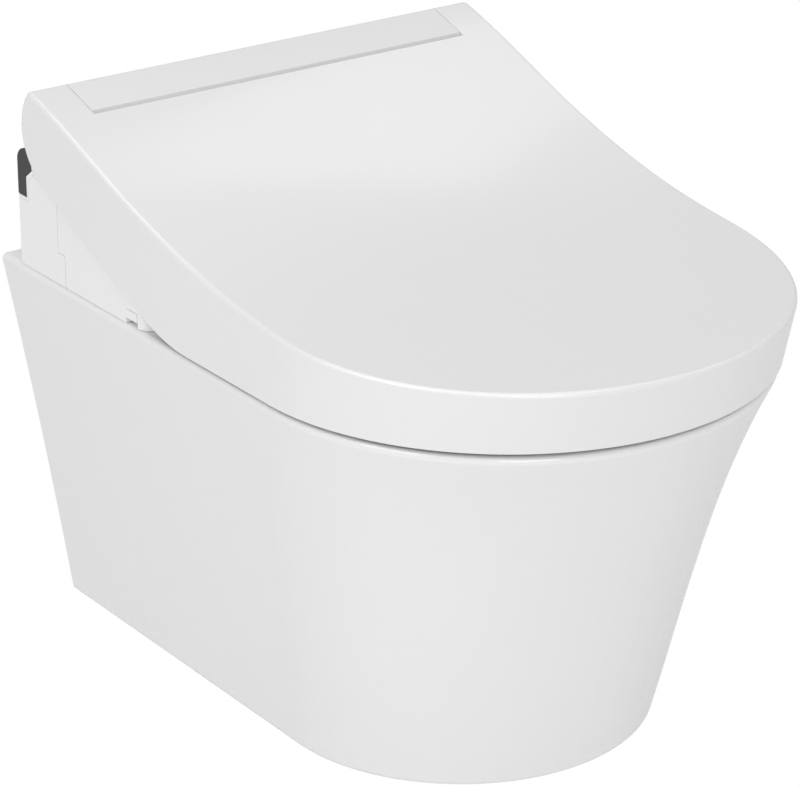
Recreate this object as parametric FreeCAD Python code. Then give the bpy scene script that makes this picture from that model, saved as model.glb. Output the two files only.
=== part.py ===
import FreeCAD, Part
import math
import os

from FreeCAD import Vector

# Wall-hung bidet toilet, millimetres. The origin is on the wall, midway between the two wall studs.
# +X is to the right as seen from the front, +Y points into the wall, +Z is up.

# Ceramic pan
pan_width = 374.2
pan_depth = 540.1
pan_height = 281.8
rim_over_studs = 75.5
foot_width = 275.2
foot_depth = 441.2
side_hollow = 7.0
front_hollow = 38.9
front_flare = 26.0
rim_round = 4.0
foot_round = 4.5
ceramic_wall = 11.0
# Length of the pan's drawing lines past the wall before its flat back is cut
wall_overrun = 10.0
deck_thickness = 17.0
basin_wall = 10.0
# Depth under the rim and growth of the basin's eased mouth
mouth_line = [(10.0, -1.5), (6.0, 0.6), (2.5, 3.4), (0.0, 8.0)]
basin_rear_gap = 174.0
basin_rim_width = 47.0
basin_depth = 263.5
basin_side_rim = 56.0
sump_half_length = 40.0
sump_half_width = 34.0
sump_drift = 52.0
sump_floor_share = 0.8
pan_section_count = 6
# Share of the basin's depth, share of its plan size and drift of its middle towards the wall
basin_levels = [(-0.06, 1.0, 0.0), (0.17, 0.985, 0.0), (0.40, 0.86, 8.0), (0.62, 0.62, 26.0),
                (0.82, 0.36, 44.0)]

# Wall side of the pan
stud_spacing = 180.0
stud_hole_radius = 6.5
sleeve_radius = 16.0
sleeve_length = 52.0
boss_wall = 9.0
clamp_screw_setback = 34.0
clamp_screw_radius = 4.0
clamp_screw_recess = 2.0
clamp_screw_tip_gap = 1.0
clamp_socket_depth = 4.0
inlet_height = 35.0
inlet_radius = 27.5
inlet_wall = 7.0
inlet_socket_length = 55.0
flush_channel_radius = 17.0
outlet_drop = 100.0
outlet_bore_radius = 45.0
outlet_wall = 6.0
outlet_spigot_length = 50.0
spigot_recess = 3.0
trap_radius = 27.0
trap_wall = 9.0
trap_bend_radius = 38.0
trap_start_setback = 290.0
trap_low_setback = 196.0
weir_setback = 142.0
weir_depth = 78.0
outlet_fall = 12.0
rear_window_width = 132.0
rear_window_round = 14.0

# Fixing of the unit to the deck
bolt_spacing = 155.0
bolt_setback = 100.0
bolt_radius = 4.0
bolt_head_radius = 8.0
bolt_head_height = 4.5
deck_hole_radius = 8.0
plug_reach = 12.0
bolt_reach = 15.0
bolt_slot_width = 1.6
plate_half_width = 94.0
plate_rear = 62.0
plate_front = 128.0
plate_thickness = 6.0
rail_height = 5.0
rail_width = 7.0
rail_end_gap = 10.0
plate_corner = 8.0
plate_window_margin = 15.0

# Shared clearances and walls
fit_gap = 0.3
running_gap = 0.05
seam_gap = 0.5
plastic_wall = 2.5
slide_gap = 0.6
# How far a cutting shape runs past the face that it opens
past = 1.0
# Two places nearer to each other than this count as one
touch = 0.01

# Hinge line of the lid and the seat
hinge_setback = 77.0
hinge_over_rim = 108.0
pin_radius = 6.0
bush_wall = 2.0
hub_wall = 3.0
bracket_boss_radius = 12.0
bracket_thickness = 13.0
seat_arm_width = 13.0
damper_radius = 8.5
damper_length = 26.0
damper_key_height = 1.2
damper_key_width = 3.0
damper_cap = 3.0
pin_end_gap = 4.0
bracket_foot_front = 168.0
bracket_foot_height = 9.0
bracket_neck_radius = 46.0
bracket_front_angle = 168.0
bracket_rear_angle = -78.0
bracket_neck_angle = -113.0
bracket_toe_length = 30.0
bracket_pocket_drop = 32.0
bracket_pocket_inset = 3.0
bracket_pocket_toe = 4.0
barrel_arm_angles = (140.0, -118.0)
barrel_arm_depth = 40.0

# Lid
lid_wall = 3.2
lid_side_overhang = 1.6
lid_front_overhang = 0.4
lid_edge_gap = 3.8
lid_front_lean = 0.267
lid_edge_round = 2.8
lid_rear_radius = 38.5
sweep_gap = 2.1
lid_crest_angle = 46.5
lid_crest_round = 5.0
lid_slope_end = 250.0
# Vertical thickness of the sloping top for each unit of wall
lid_slope_stretch = 1.06
slope_foot_length = 56.0
slope_foot_rise = 12.0
slope_sag = 2.0
foot_sag = 2.9
lid_tail_angle = -52.0
lid_tail_swell = 0.4
lid_rear_edge_angle = -4.0
# How far the lid's drawing lines run past its front before the plan outline cuts them
lid_overrun = 80.0
strip_end_margin = 30.9
strip_front_setback = 85.0
strip_groove = 4.0
strip_thickness = 4.4
strip_floor = 2.0
# Distance from the wall and height over the rim along the lid's top
lid_top_line = [(110.0, 116.7), (170.0, 94.8), (230.0, 76.6), (290.0, 63.3), (350.0, 55.6), (430.0, 50.2)]
lid_front_height = 48.5
lid_shoulder_turn = 6.4
hub_stay_width = 4.0
lid_notch_start = 12.0
lid_notch_height = 22.0

# Unit casing
unit_rear = 23.0
unit_side_front = 196.0
unit_front = 203.0
unit_side_gap = 1.0
unit_corner = 15.0
case_lift = 0.5
case_floor = 3.0
board_post_radius = 4.0
board_post_inset = 6.0
wand_slot_rear = 150.0
tray_height = 19.5
hump_side_gap = 43.5
hump_rear = 95.0
hump_clearance = 9.0
hump_round = 24.0
# Run and rise of the line that ends the raised case behind the lid's crest
hump_tail = (60.0, 20.0)
damper_barrel_wall = 2.0
wing_side_gap = 12.0
wand_mouth_height = 13.0
duct_lift = 4.0
air_slot_height = 10.0
air_slot_margin = 5.0
screw_radius = 1.75
screw_head_height = 2.0
screw_post_radius = 4.375
case_screw_length = 11.0
case_screw_inset = 8.0
bracket_screw_pitch = 50.0
rear_deck_height = 66.5
cover_overlap = 8.0
# Height that the covers are drawn to before the lid's edge trims them
cover_reach = 200.0
# Length of the covers' edge line past the ends of the lid's side edge
cover_edge_rear_run = 40.0
cover_edge_front_run = 10.0
seam_upper_setback = 78.0
seam_lower_setback = 87.2
seam_jog_height = 24.0
panel_bottom_height = 53.0
panel_depth = 13.0
panel_inset = 1.0
panel_top_height = 90.5
panel_jog_rise = 16.0
panel_tip = (8.5, 6.5)
panel_peak = 4.0
panel_shoulder = (9.0, 2.0)
panel_bend = (2.6, 5.6)
panel_edge_drop = 10.5
panel_tip_room = 6.0
panel_top_room = 2.0
panel_hollow_height = 24.0
frame_width = 2.8
frame_line = 0.5
frame_depth = 0.5
vent_count = 12
vent_width = 12.0
vent_height = 2.0
vent_rows = 3
vent_pitch = 6.0

# Seat
seat_side_inset = 8.0
seat_front_inset = 12.0
seat_rear_gap = 4.0
seat_lift = 5.5
seat_height = 26.5
seat_wall = 4.5
seat_round = 10.0
seat_hole_rear = 242.0
seat_front_band = 74.5
seat_side_band = 81.5
seat_heater_thickness = 0.8
seat_corner = 18.0
bumper_radius = 9.0
bumper_setback = 84.0
bumper_angle = 30.0
bumper_reach = 40.0
seat_post_radius = 4.0
seat_post_inset = 9.5
seat_post_setback = 250.0
seat_post_angle = 21.0
seat_arm_angles = (68.0, -118.0)
arm_side_gap = 2.0
arm_wing_gap = 4.0
arm_toe = 2.0
arm_heel_gap = 1.0
arm_heel_lift = 8.0
arm_root_length = 6.0
arm_shoulder = (4.0, 6.0)

# Washing wand
wand_tilt = 22.0
wand_exit_setback = 196.0
wand_exit_height = 0.0
wand_radius = 8.0
wand_length = 125.0
wand_tip_setback = 186.0
wand_bore_radius = 3.0
tip_length = 14.0
rack_module = 1.25
pinion_teeth = 14
pinion_width = 8.0
tooth_slack = 0.35
guide_wall = 2.0
wand_slot_margin = 5.0
rack_start = 4.0
rack_bar_pride = 1.0
rack_bar_depth = 3.0
pressure_angle = 20.0
# Depth below and height over the pitch line for each unit of module
tooth_root_ratio = 1.25
tooth_crest_ratio = 0.9
tooth_sink = 0.2
# Share of the flank's slope that a wheel tooth takes below and over the pitch line
wheel_root_share = 0.45
wheel_crest_share = 1.5
pinion_setback = 12.0
pinion_shaft_length = 12.0
pinion_shaft_radius = 2.0
pinion_side_gap = 1.0
tip_round = 2.8
tip_bore_start = 7.5
spray_rows = (6.0, 9.0)
spray_half_pitch = 2.0
spray_radius = 0.7
motor_radius = 10.0
motor_length = 24.0
motor_neck_radius = 4.0
motor_neck_length = 4.0
motor_bore_depth = 11.0
guide_start = 16.0
guide_end_gap = 8.0
guide_lip = 3.0
guide_foot_length = 26.0
guide_foot_inset = 4.0
guide_foot_drop = 30.0
shelf_thickness = 1.5
shelf_margin = 6.0
pillar_thickness = 3.5
bridge_gap = 4.0
bridge_overlap = 12.0

# Water, air and electric pieces inside the casing
tank_size = (72.0, 60.0, 38.0)
tank_wand_gap = 12.0
tank_rear_gap = 4.0
tank_round = 6.0
stub_radius = 4.0
stub_inset = 20.0
stub_drop = 10.0
stub_rear_length = 20.0
stub_side_length = 8.0
pump_radius = 13.0
pump_rear = 92.0
pump_length = 30.0
pump_side_gap = 4.0
pump_head_length = 14.0
pump_head_step = 3.0
pump_port_setback = 8.0
pump_port_radius = 3.5
pump_port_height = 2.0
cradle_half_width = 8.0
cradle_inset = 4.0
valve_size = (22.0, 34.0, 24.0)
valve_leg = (10.0, 12.0)
coil_radius = 8.0
coil_height = 11.0
inlet_thread_radius = 10.4
inlet_fitting_inset = 16.0
inlet_fitting_height = 34.0
inlet_fitting_length = 28.0
inlet_flange = 2.5
inlet_fitting_reach = 10.0
inlet_bore_radius = 6.0
filter_wall = 1.5
filter_slots = 3
filter_pitch = 3.0
blower_radius = 28.0
blower_width = 34.0
blower_offset = 42.0
blower_setback = 142.0
blower_wall = 2.0
blower_foot_half = 10.0
throat_length = 14.0
throat_drop = 8.0
eye_radius = 14.0
shaft_hole_radius = 3.0
blower_shaft_radius = 2.0
blower_shaft_length = 16.0
blower_motor_radius = 15.0
blower_motor_length = 24.0
blower_motor_bore = 14.0
duct_mouth_height = 14.0
impeller_radius = 23.0
impeller_blades = 16
impeller_blade = 1.6
impeller_front_gap = 4.0
impeller_rear_gap = 5.0
impeller_disc = 2.0
impeller_hub_radius = 5.0
impeller_hub_inset = 8.0
impeller_ring_width = 4.5
blade_root = 5.0
blade_edge = 0.6
blade_angle = 25.0
board_size = (90.0, 40.0, 1.6)
board_side_gap = 29.0
board_rear_gap = 8.0
board_lift = 20.0
# Place along and across the board, length, width and height over it of the larger components
board_blocks = [(-23.0, -2.0, 18.0, 16.0, 14.0), (1.0, -1.0, 18.0, 22.0, 10.0),
                (33.0, 0.0, 10.0, 12.0, 4.0)]
can_place = 20.0
can_radius = 6.0
can_height = 16.0
gland_radius = 9.0
gland_neck_radius = 7.0
gland_head = 4.0
gland_lip = 3.0
gland_bore_radius = 4.0
gland_inset = 16.0

# Release button on the left side
button_setback = 175.5
button_width = 14.2
button_height = 6.4
button_travel = 4.0
button_depth = 2.6
button_low = 4.6
button_pride = 0.2
stem_width = 8.0
stem_height = 2.8
stem_length = 18.0

# Derived places
rim_z = rim_over_studs
foot_z = rim_z - pan_height
pan_half = pan_width / 2
hinge_y = -hinge_setback
hinge_z = rim_z + hinge_over_rim
lid_half = pan_half + lid_side_overhang
lid_depth = pan_depth + lid_front_overhang
lid_edge_z = rim_z + lid_edge_gap
lid_crest_y = hinge_y + lid_rear_radius * math.cos(math.radians(lid_crest_angle))
lid_crest_z = hinge_z + lid_rear_radius * math.sin(math.radians(lid_crest_angle))
lid_inner_half = lid_half - lid_wall
seat_half = lid_inner_half - seat_side_inset
seat_depth = lid_depth - seat_front_inset
seat_bend_y = -(seat_depth - seat_half)
seat_hole_front = lid_depth - seat_front_band
seat_hole_half_width = lid_inner_half - seat_side_band
unit_half = lid_inner_half - unit_side_gap
hump_half_width = lid_inner_half - hump_side_gap
strip_half_length = lid_half - strip_end_margin
unit_z = rim_z + case_lift
tray_top = unit_z + tray_height
wing_top = tray_top + plastic_wall
bush_radius = pin_radius + bush_wall
hub_radius = bush_radius + hub_wall
arm_inner = hump_half_width + arm_side_gap
arm_outer = arm_inner + seat_arm_width
bracket_inner = arm_outer + seam_gap
bracket_outer = bracket_inner + bracket_thickness
lid_hub_inner = bracket_outer + seam_gap
channel_half = plate_half_width + slide_gap
channel_top = rim_z + plate_thickness + rail_height + slide_gap
channel_front = -(plate_front + slide_gap)
rear_deck_z = rim_z + rear_deck_height
blower_y = -blower_setback
blower_z = tray_top + blower_radius + plastic_wall
throat_end = blower_y - blower_radius - throat_length
throat_top = blower_z - throat_drop
inlet_fitting_offset = hump_half_width - inlet_fitting_inset
gland_offset = hump_half_width - gland_inset
board_offset = board_side_gap + board_size[0] / 2 - hump_half_width
pinion_radius = rack_module * pinion_teeth / 2
wand_slot_half = wand_radius + wand_slot_margin
wand_rise = (wand_exit_setback - wand_tip_setback) * math.tan(math.radians(wand_tilt))
wand_tip_z = rim_z + wand_exit_height + wand_rise
rack_root = wand_radius + rack_bar_pride
rack_pitch_line = rack_root + tooth_root_ratio * rack_module
pinion_x = rack_pitch_line + pinion_radius
pinion_place = tip_length + pinion_setback
tooth_slope = math.tan(math.radians(pressure_angle))
shelf_low = pinion_width / 2 + pinion_side_gap
motor_low = shelf_low + shelf_thickness


def box(x0, x1, y0, y1, z0, z1):
    """Box between two opposite corners, given low and high along each axis."""
    return Part.makeBox(x1 - x0, y1 - y0, z1 - z0, Vector(x0, y0, z0))


def rod(start, end, radius):
    """Round bar from one point to another."""
    axis = Vector(*end) - Vector(*start)
    return Part.makeCylinder(radius, axis.Length, Vector(*start), axis)


def rod_x(x0, x1, y, z, radius):
    return rod((min(x0, x1), y, z), (max(x0, x1), y, z), radius)


def tube_x(x0, x1, y, z, outer, inner):
    return rod_x(x0, x1, y, z, outer).cut(rod_x(x0, x1, y, z, inner))


def mirrored(shape):
    """The same piece on the other side of the middle plane."""
    return shape.mirror(Vector(0, 0, 0), Vector(1, 0, 0))


def pair(shape):
    return Part.makeCompound([shape, mirrored(shape)])


def corner_arc(before, corner, after, radius):
    """Points where a corner's rounding starts, its middle and where it ends."""
    to_before = (before - corner).normalize()
    to_after = (after - corner).normalize()
    half = to_before.getAngle(to_after) / 2
    reach = radius / math.tan(half)
    inward = (to_before + to_after).normalize()
    middle = corner + inward * (radius / math.sin(half) - radius)
    return corner + to_before * reach, middle, corner + to_after * reach


def rounded_wire(points, radius):
    """Closed polygon with every corner rounded alike."""
    arcs = []
    for i, corner in enumerate(points):
        arcs.append(corner_arc(points[i - 1], corner, points[(i + 1) % len(points)], radius))
    edges = []
    for i, (start, middle, end) in enumerate(arcs):
        edges.append(Part.Arc(start, middle, end).toShape())
        following = arcs[(i + 1) % len(arcs)][0]
        if (following - end).Length > touch:
            edges.append(Part.LineSegment(end, following).toShape())
    return Part.Wire(edges)


def round_path(points, radius):
    """Open path of straight runs with tangent arcs at its inner corners."""
    edges = []
    start = points[0]
    for i in range(1, len(points) - 1):
        first, middle, last = corner_arc(points[i - 1], points[i], points[i + 1], radius)
        edges.append(Part.LineSegment(start, first).toShape())
        edges.append(Part.Arc(first, middle, last).toShape())
        start = last
    edges.append(Part.LineSegment(start, points[-1]).toShape())
    return Part.Wire(edges)


def pipe(path, radius):
    """Round bar that follows a path."""
    start = path.Edges[0].valueAt(path.Edges[0].FirstParameter)
    along = path.Edges[0].tangentAt(path.Edges[0].FirstParameter)
    ring = Part.Wire(Part.makeCircle(radius, start, along))
    return path.makePipeShell([ring], True, False)


def polygon_x(points, x0, x1):
    """Prism across X over a side outline of (y, z) points."""
    corners = [Vector(x0, y, z) for y, z in points]
    face = Part.Face(Part.makePolygon(corners + corners[:1]))
    return face.extrude(Vector(x1 - x0, 0, 0))


def side_prism(edges, x0, x1):
    """Prism across X over a closed side outline drawn in the middle plane."""
    face = Part.Face(Part.Wire(edges))
    face.translate(Vector(x0, 0, 0))
    return face.extrude(Vector(x1 - x0, 0, 0))


def arc_yz(first, middle, last):
    return Part.Arc(*[Vector(0, y, z) for y, z in (first, middle, last)]).toShape()


def line_yz(first, last):
    return Part.LineSegment(Vector(0, *first), Vector(0, *last)).toShape()


def u_wire(half, depth, z, back):
    """Plan outline with straight sides and a half-round front."""
    middle = -(depth - half)
    bow = half * math.sqrt(0.5)
    left = Part.Arc(Vector(-half, middle, z), Vector(-bow, middle - bow, z), Vector(0, -depth, z))
    right = Part.Arc(Vector(0, -depth, z), Vector(bow, middle - bow, z), Vector(half, middle, z))
    return Part.Wire([
        Part.LineSegment(Vector(-half, back, z), Vector(-half, middle, z)).toShape(),
        left.toShape(),
        right.toShape(),
        Part.LineSegment(Vector(half, middle, z), Vector(half, back, z)).toShape(),
        Part.LineSegment(Vector(half, back, z), Vector(-half, back, z)).toShape(),
    ])


def pan_section(height_share):
    """Half-width and depth of the pan's outside at a share of its height."""
    u = height_share
    bulge = u * (1 - u)
    half = (foot_width + (pan_width - foot_width) * u) / 2 - side_hollow * bulge
    depth = foot_depth + (pan_depth - foot_depth) * u
    depth += bulge * (front_flare * (1 - 2 * u) - front_hollow)
    return half, depth


def pan_loft(inset, low_z, high_z, back):
    """Solid inside the pan's outside, drawn in by a wall, between two heights."""
    wires = []
    for i in range(pan_section_count):
        z = low_z + (high_z - low_z) * i / (pan_section_count - 1)
        half, depth = pan_section((z - foot_z) / pan_height)
        wires.append(u_wire(half - inset, depth - inset, z, back))
    return Part.makeLoft(wires, True, False)


def edges_at(shape, z, back):
    """Edges that lie in one level, apart from those against the wall."""
    found = []
    for edge in shape.Edges:
        bounds = edge.BoundBox
        level = abs(bounds.ZMin - z) < touch and abs(bounds.ZMax - z) < touch
        if level and bounds.YMin < back - past:
            found.append(edge)
    return found


def ellipse_wire(centre_y, half_length, half_width, z):
    if half_length >= half_width:
        curve = Part.Ellipse(Vector(0, centre_y + half_length, z), Vector(half_width, centre_y, z),
                             Vector(0, centre_y, z))
    else:
        curve = Part.Ellipse(Vector(half_width, centre_y, z), Vector(0, centre_y + half_length, z),
                             Vector(0, centre_y, z))
    return Part.Wire(curve.toShape())


def basin_plan():
    """Middle, half-length and half-width of the basin at the rim."""
    front = pan_depth - basin_rim_width
    return -(front + basin_rear_gap) / 2, (front - basin_rear_gap) / 2, pan_half - basin_side_rim


def basin_mouth():
    """Space that eases the edge between the rim and the basin."""
    centre, half_length, half_width = basin_plan()
    wires = []
    for drop, grow in mouth_line:
        wires.append(ellipse_wire(centre, half_length + grow, half_width + grow, rim_z - drop))
    return Part.makeLoft(wires, True, False)


def basin_loft(wall):
    """Basin space, grown by a wall, from the rim down to the sump."""
    centre, half_length, half_width = basin_plan()
    wires = []
    for depth_share, plan_share, drift in basin_levels:
        length = sump_half_length + (half_length - sump_half_length) * plan_share
        width = sump_half_width + (half_width - sump_half_width) * plan_share
        z = rim_z - basin_depth * depth_share
        wires.append(ellipse_wire(centre + drift, length + wall, width + wall, z))
    floor_z = rim_z - basin_depth - wall
    wires.append(ellipse_wire(centre + sump_drift, sump_half_length * sump_floor_share + wall,
                              sump_half_width * sump_floor_share + wall, floor_z))
    return Part.makeLoft(wires, True, False)


def trap_path():
    """Middle line of the waste passage from the sump over the weir to the outlet."""
    sump_z = rim_z - basin_depth + trap_radius
    points = [
        Vector(0, -trap_start_setback, sump_z),
        Vector(0, -trap_low_setback, sump_z),
        Vector(0, -weir_setback, -weir_depth),
        Vector(0, -outlet_spigot_length, -outlet_drop + outlet_fall),
    ]
    return round_path(points, trap_bend_radius)


def bowl():
    """Glazed pan: skirt, deck, basin, trap, flush inlet and outlet in one casting."""
    outside = pan_loft(0.0, foot_z, rim_z, wall_overrun)
    outside = outside.common(box(-pan_width, pan_width, -2 * pan_depth, 0, foot_z, rim_z))
    outside = outside.makeFillet(rim_round, edges_at(outside, rim_z, 0.0))
    outside = outside.makeFillet(foot_round, edges_at(outside, foot_z, 0.0))
    space = pan_loft(ceramic_wall, foot_z + ceramic_wall, rim_z - deck_thickness, -ceramic_wall)
    pan = outside.cut(space)
    below_deck = box(-pan_half, pan_half, -pan_depth, 0, foot_z, rim_z - deck_thickness / 2)
    skin = basin_loft(basin_wall).common(below_deck)
    passage = trap_path()
    outlet_z = -outlet_drop
    spigot_start = (0, -outlet_spigot_length - trap_wall, outlet_z)
    outlet = rod(spigot_start, (0, -spigot_recess, outlet_z), outlet_bore_radius + outlet_wall)
    basin_back = -basin_rear_gap - basin_wall
    inlet = rod((0, -inlet_socket_length - inlet_wall, inlet_height), (0, -spigot_recess, inlet_height),
                inlet_radius + inlet_wall)
    channel = rod((0, basin_back, inlet_height), (0, -inlet_socket_length, inlet_height),
                  flush_channel_radius + inlet_wall)
    boss = rod((stud_spacing / 2, -sleeve_length - boss_wall, 0), (stud_spacing / 2, 0, 0),
               sleeve_radius + boss_wall)
    sockets = [boss, mirrored(boss)]
    pan = pan.fuse([skin, pipe(passage, trap_radius + trap_wall), outlet, inlet, channel] + sockets)
    pan = pan.common(outside)
    pan = pan.cut(rear_window().cut([outlet, inlet]))
    tools = [
        basin_loft(0.0),
        pipe(passage, trap_radius),
        rod((0, -outlet_spigot_length, outlet_z), (0, past, outlet_z), outlet_bore_radius),
        rod((0, -inlet_socket_length, inlet_height), (0, past, inlet_height), inlet_radius),
        rod((0, -spigot_recess, inlet_height), (0, past, inlet_height), inlet_radius + inlet_wall),
        rod((0, basin_back - basin_wall, inlet_height), (0, -inlet_socket_length, inlet_height),
            flush_channel_radius),
    ]
    for side in (-1, 1):
        stud_x = side * stud_spacing / 2
        bolt_x = side * bolt_spacing / 2
        tools.append(rod((stud_x, -sleeve_length, 0), (stud_x, past, 0), sleeve_radius + fit_gap))
        tools.append(rod((stud_x, -clamp_screw_setback, 0), (stud_x, -clamp_screw_setback, rim_z + past),
                         clamp_screw_radius + fit_gap))
        tools.append(rod((bolt_x, -bolt_setback, rim_z - 3 * deck_thickness),
                         (bolt_x, -bolt_setback, rim_z + past),
                         deck_hole_radius))
    return pan.cut(tools).cut(basin_mouth())


def rear_window():
    """Open back of the pan between the stud bosses, where the two pipes come in."""
    half = rear_window_width / 2
    low = foot_z + 3 * ceramic_wall
    high = rim_z - deck_thickness
    corners = [Vector(x, -ceramic_wall - past, z) for x, z in ((-half, low), (half, low), (half, high),
                                                               (-half, high))]
    face = Part.Face(rounded_wire(corners, rear_window_round))
    return face.extrude(Vector(0, ceramic_wall + 2 * past, 0))


def wall_fixing_sleeves():
    """Nylon sleeves that slide over the wall studs inside the pan's bosses."""
    x = stud_spacing / 2
    body = rod((x, -sleeve_length, 0), (x, 0, 0), sleeve_radius)
    bore = rod((x, -sleeve_length - past, 0), (x, past, 0), stud_hole_radius)
    seat = rod((x, -clamp_screw_setback, 0), (x, -clamp_screw_setback, sleeve_radius + past),
               clamp_screw_radius)
    return pair(body.cut(bore).cut(seat))


def wall_fixing_screws():
    """Screws from the deck that clamp the pan to its sleeves, covered by the unit."""
    x = stud_spacing / 2
    y = -clamp_screw_setback
    tip_z = stud_hole_radius + clamp_screw_tip_gap
    head_z = rim_z - clamp_screw_recess
    shank = rod((x, y, tip_z), (x, y, head_z), clamp_screw_radius)
    socket = rod((x, y, head_z - clamp_socket_depth), (x, y, head_z + past), clamp_screw_radius / 2)
    return pair(shank.cut(socket))


def bolt_sleeves():
    """Rubber plugs that the base bolts spread in the deck's holes."""
    x = bolt_spacing / 2
    low = rim_z - deck_thickness - plug_reach
    plug = rod((x, -bolt_setback, low), (x, -bolt_setback, rim_z), deck_hole_radius)
    bore = rod((x, -bolt_setback, low - past), (x, -bolt_setback, rim_z + past), bolt_radius)
    return pair(plug.cut(bore))


def base_bolts():
    """Bolts that hold the base plate to the deck."""
    x = bolt_spacing / 2
    seat_z = rim_z + plate_thickness
    shank = rod((x, -bolt_setback, rim_z - deck_thickness - bolt_reach), (x, -bolt_setback, seat_z),
                bolt_radius)
    head = rod((x, -bolt_setback, seat_z), (x, -bolt_setback, seat_z + bolt_head_height), bolt_head_radius)
    slot = box(x - bolt_slot_width / 2, x + bolt_slot_width / 2, -bolt_setback - bolt_head_radius,
               -bolt_setback + bolt_head_radius, seat_z + bolt_head_height / 2,
               seat_z + bolt_head_height + past)
    return pair(shank.fuse(head).cut(slot))


def base_plate():
    """Plate on the deck that the unit slides on to, with a rail along each side."""
    half = plate_half_width
    corners = [Vector(x, y, rim_z) for x, y in ((-half, -plate_front), (half, -plate_front),
                                                (half, -plate_rear),
                                                (-half, -plate_rear))]
    plate = Part.Face(rounded_wire(corners, plate_corner)).extrude(Vector(0, 0, plate_thickness))
    rail = box(half - rail_width, half, -plate_front + rail_end_gap, -plate_rear - rail_end_gap,
               rim_z + plate_thickness - past,
               rim_z + plate_thickness + rail_height)
    plate = plate.fuse([rail, mirrored(rail)])
    x = bolt_spacing / 2
    hole = rod((x, -bolt_setback, rim_z - past), (x, -bolt_setback, rim_z + plate_thickness + past),
               bolt_radius + fit_gap)
    window = box(-x + 3 * bolt_head_radius, x - 3 * bolt_head_radius, -plate_front + plate_window_margin,
                 -plate_rear - plate_window_margin, rim_z - past,
                 rim_z + plate_thickness + past)
    return plate.cut([hole, mirrored(hole), window])


def top_curve(drop):
    """Line along the lid's top from front to crest, lowered by a wall."""
    points = [Vector(0, -lid_depth - lid_overrun, rim_z + lid_front_height - drop)]
    for setback, height in reversed(lid_top_line):
        points.append(Vector(0, -setback, rim_z + height - drop))
    points.append(Vector(0, lid_crest_y, lid_crest_z - drop))
    curve = Part.BSplineCurve()
    curve.interpolate(points)
    return curve.toShape(), points


def polar(radius, degrees):
    """Point about the hinge line, measured up from the direction of the wall."""
    angle = math.radians(degrees)
    return hinge_y + radius * math.cos(angle), hinge_z + radius * math.sin(angle)


def lid_lower_points():
    """Side edge of the lid: end of the round rear, foot of the slope, start of the level edge."""
    rear = polar(lid_rear_radius + lid_tail_swell, lid_tail_angle)
    foot = (-lid_slope_end + slope_foot_length, lid_edge_z + slope_foot_rise)
    level = (-lid_slope_end, lid_edge_z)
    return rear, foot, level


def lid_profile(drop, front_y):
    """Closed side outline of the lid's outside."""
    top, points = top_curve(drop)
    crest = (points[-1].y, points[-1].z)
    front = (points[0].y, points[0].z)
    rear, foot, level = lid_lower_points()
    middle = ((rear[0] + foot[0]) / 2, (rear[1] + foot[1]) / 2 - slope_sag)
    return [
        top,
        arc_yz(crest, polar(lid_rear_radius, 0.0), rear),
        arc_yz(rear, middle, foot),
        arc_yz(foot, ((foot[0] + level[0]) / 2, (foot[1] + level[1]) / 2 - foot_sag), level),
        line_yz(level, (front_y, lid_edge_z)),
        line_yz((front_y, lid_edge_z), front),
    ]


def lid_plan(inset, grow):
    """Leaning plan solid of the lid, drawn in by a wall."""
    low = lid_edge_z - grow
    high = lid_crest_z + lid_rear_radius
    wires = []
    for z in (low, high):
        depth = lid_depth + lid_front_lean * (z - lid_edge_z)
        wires.append(u_wire(lid_half - inset, depth - inset, z, wall_overrun))
    return Part.makeLoft(wires, True, True)


def lid_outside():
    """Solid outside form of the lid with its crest and upper edge rounded."""
    front_y = -lid_depth - lid_overrun
    block = side_prism(lid_profile(0.0, front_y), -lid_half - past, lid_half + past)
    crest = [e for e in block.Edges if e.BoundBox.XLength > 2 * lid_half
             and e.BoundBox.ZMin > lid_crest_z - past]
    block = block.makeFillet(lid_crest_round, crest).common(lid_plan(0.0, lid_wall))
    top, _ = top_curve(0.0)
    upper = []
    for edge in block.Edges:
        middle = edge.valueAt((edge.FirstParameter + edge.LastParameter) / 2)
        on_top = top.distToShape(Part.Vertex(0, middle.y, middle.z))[0] < touch
        if on_top and edge.BoundBox.XLength < lid_half + past:
            upper.append(edge)
    return block.makeFillet(lid_edge_round, upper)


def lid_space():
    """Inside of the lid, open below and behind the hinge."""
    drop = lid_wall * lid_slope_stretch
    top, points = top_curve(drop)
    crest = (points[-1].y, points[-1].z)
    front = (points[0].y, points[0].z)
    inner_radius = lid_rear_radius - lid_wall - fit_gap
    wide = 1.5 * lid_rear_radius
    end = polar(inner_radius, lid_rear_edge_angle)
    shoulder = polar(inner_radius, lid_crest_angle - lid_shoulder_turn)
    low_z = lid_edge_z - lid_rear_radius
    edges = [
        top,
        line_yz(crest, shoulder),
        arc_yz(shoulder, polar(inner_radius, lid_crest_angle / 3), end),
        line_yz(end, (hinge_y + wide, end[1])),
        line_yz((hinge_y + wide, end[1]), (hinge_y + wide, low_z)),
        line_yz((hinge_y + wide, low_z), (front[0], low_z)),
        line_yz((front[0], low_z), front),
    ]
    inside = side_prism(edges, -lid_half, lid_half)
    return inside.common(lid_plan(lid_wall, lid_rear_radius))


def strip_space(half, front, depth):
    """Space down to a depth under the lid's top, from a front edge back past the crest."""
    line, points = top_curve(depth)
    tail = points[-1] + (points[-1] - points[-2]).normalize() * lid_rear_radius
    high = lid_crest_z + lid_rear_radius
    corners = [points[-1], tail, Vector(0, tail.y, high), Vector(0, points[0].y, high), points[0]]
    edges = [line]
    for start, end in zip(corners, corners[1:]):
        edges.append(Part.LineSegment(start, end).toShape())
    return side_prism(edges, -half, half).common(box(-half, half, -front, 0, rim_z, high))


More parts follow.
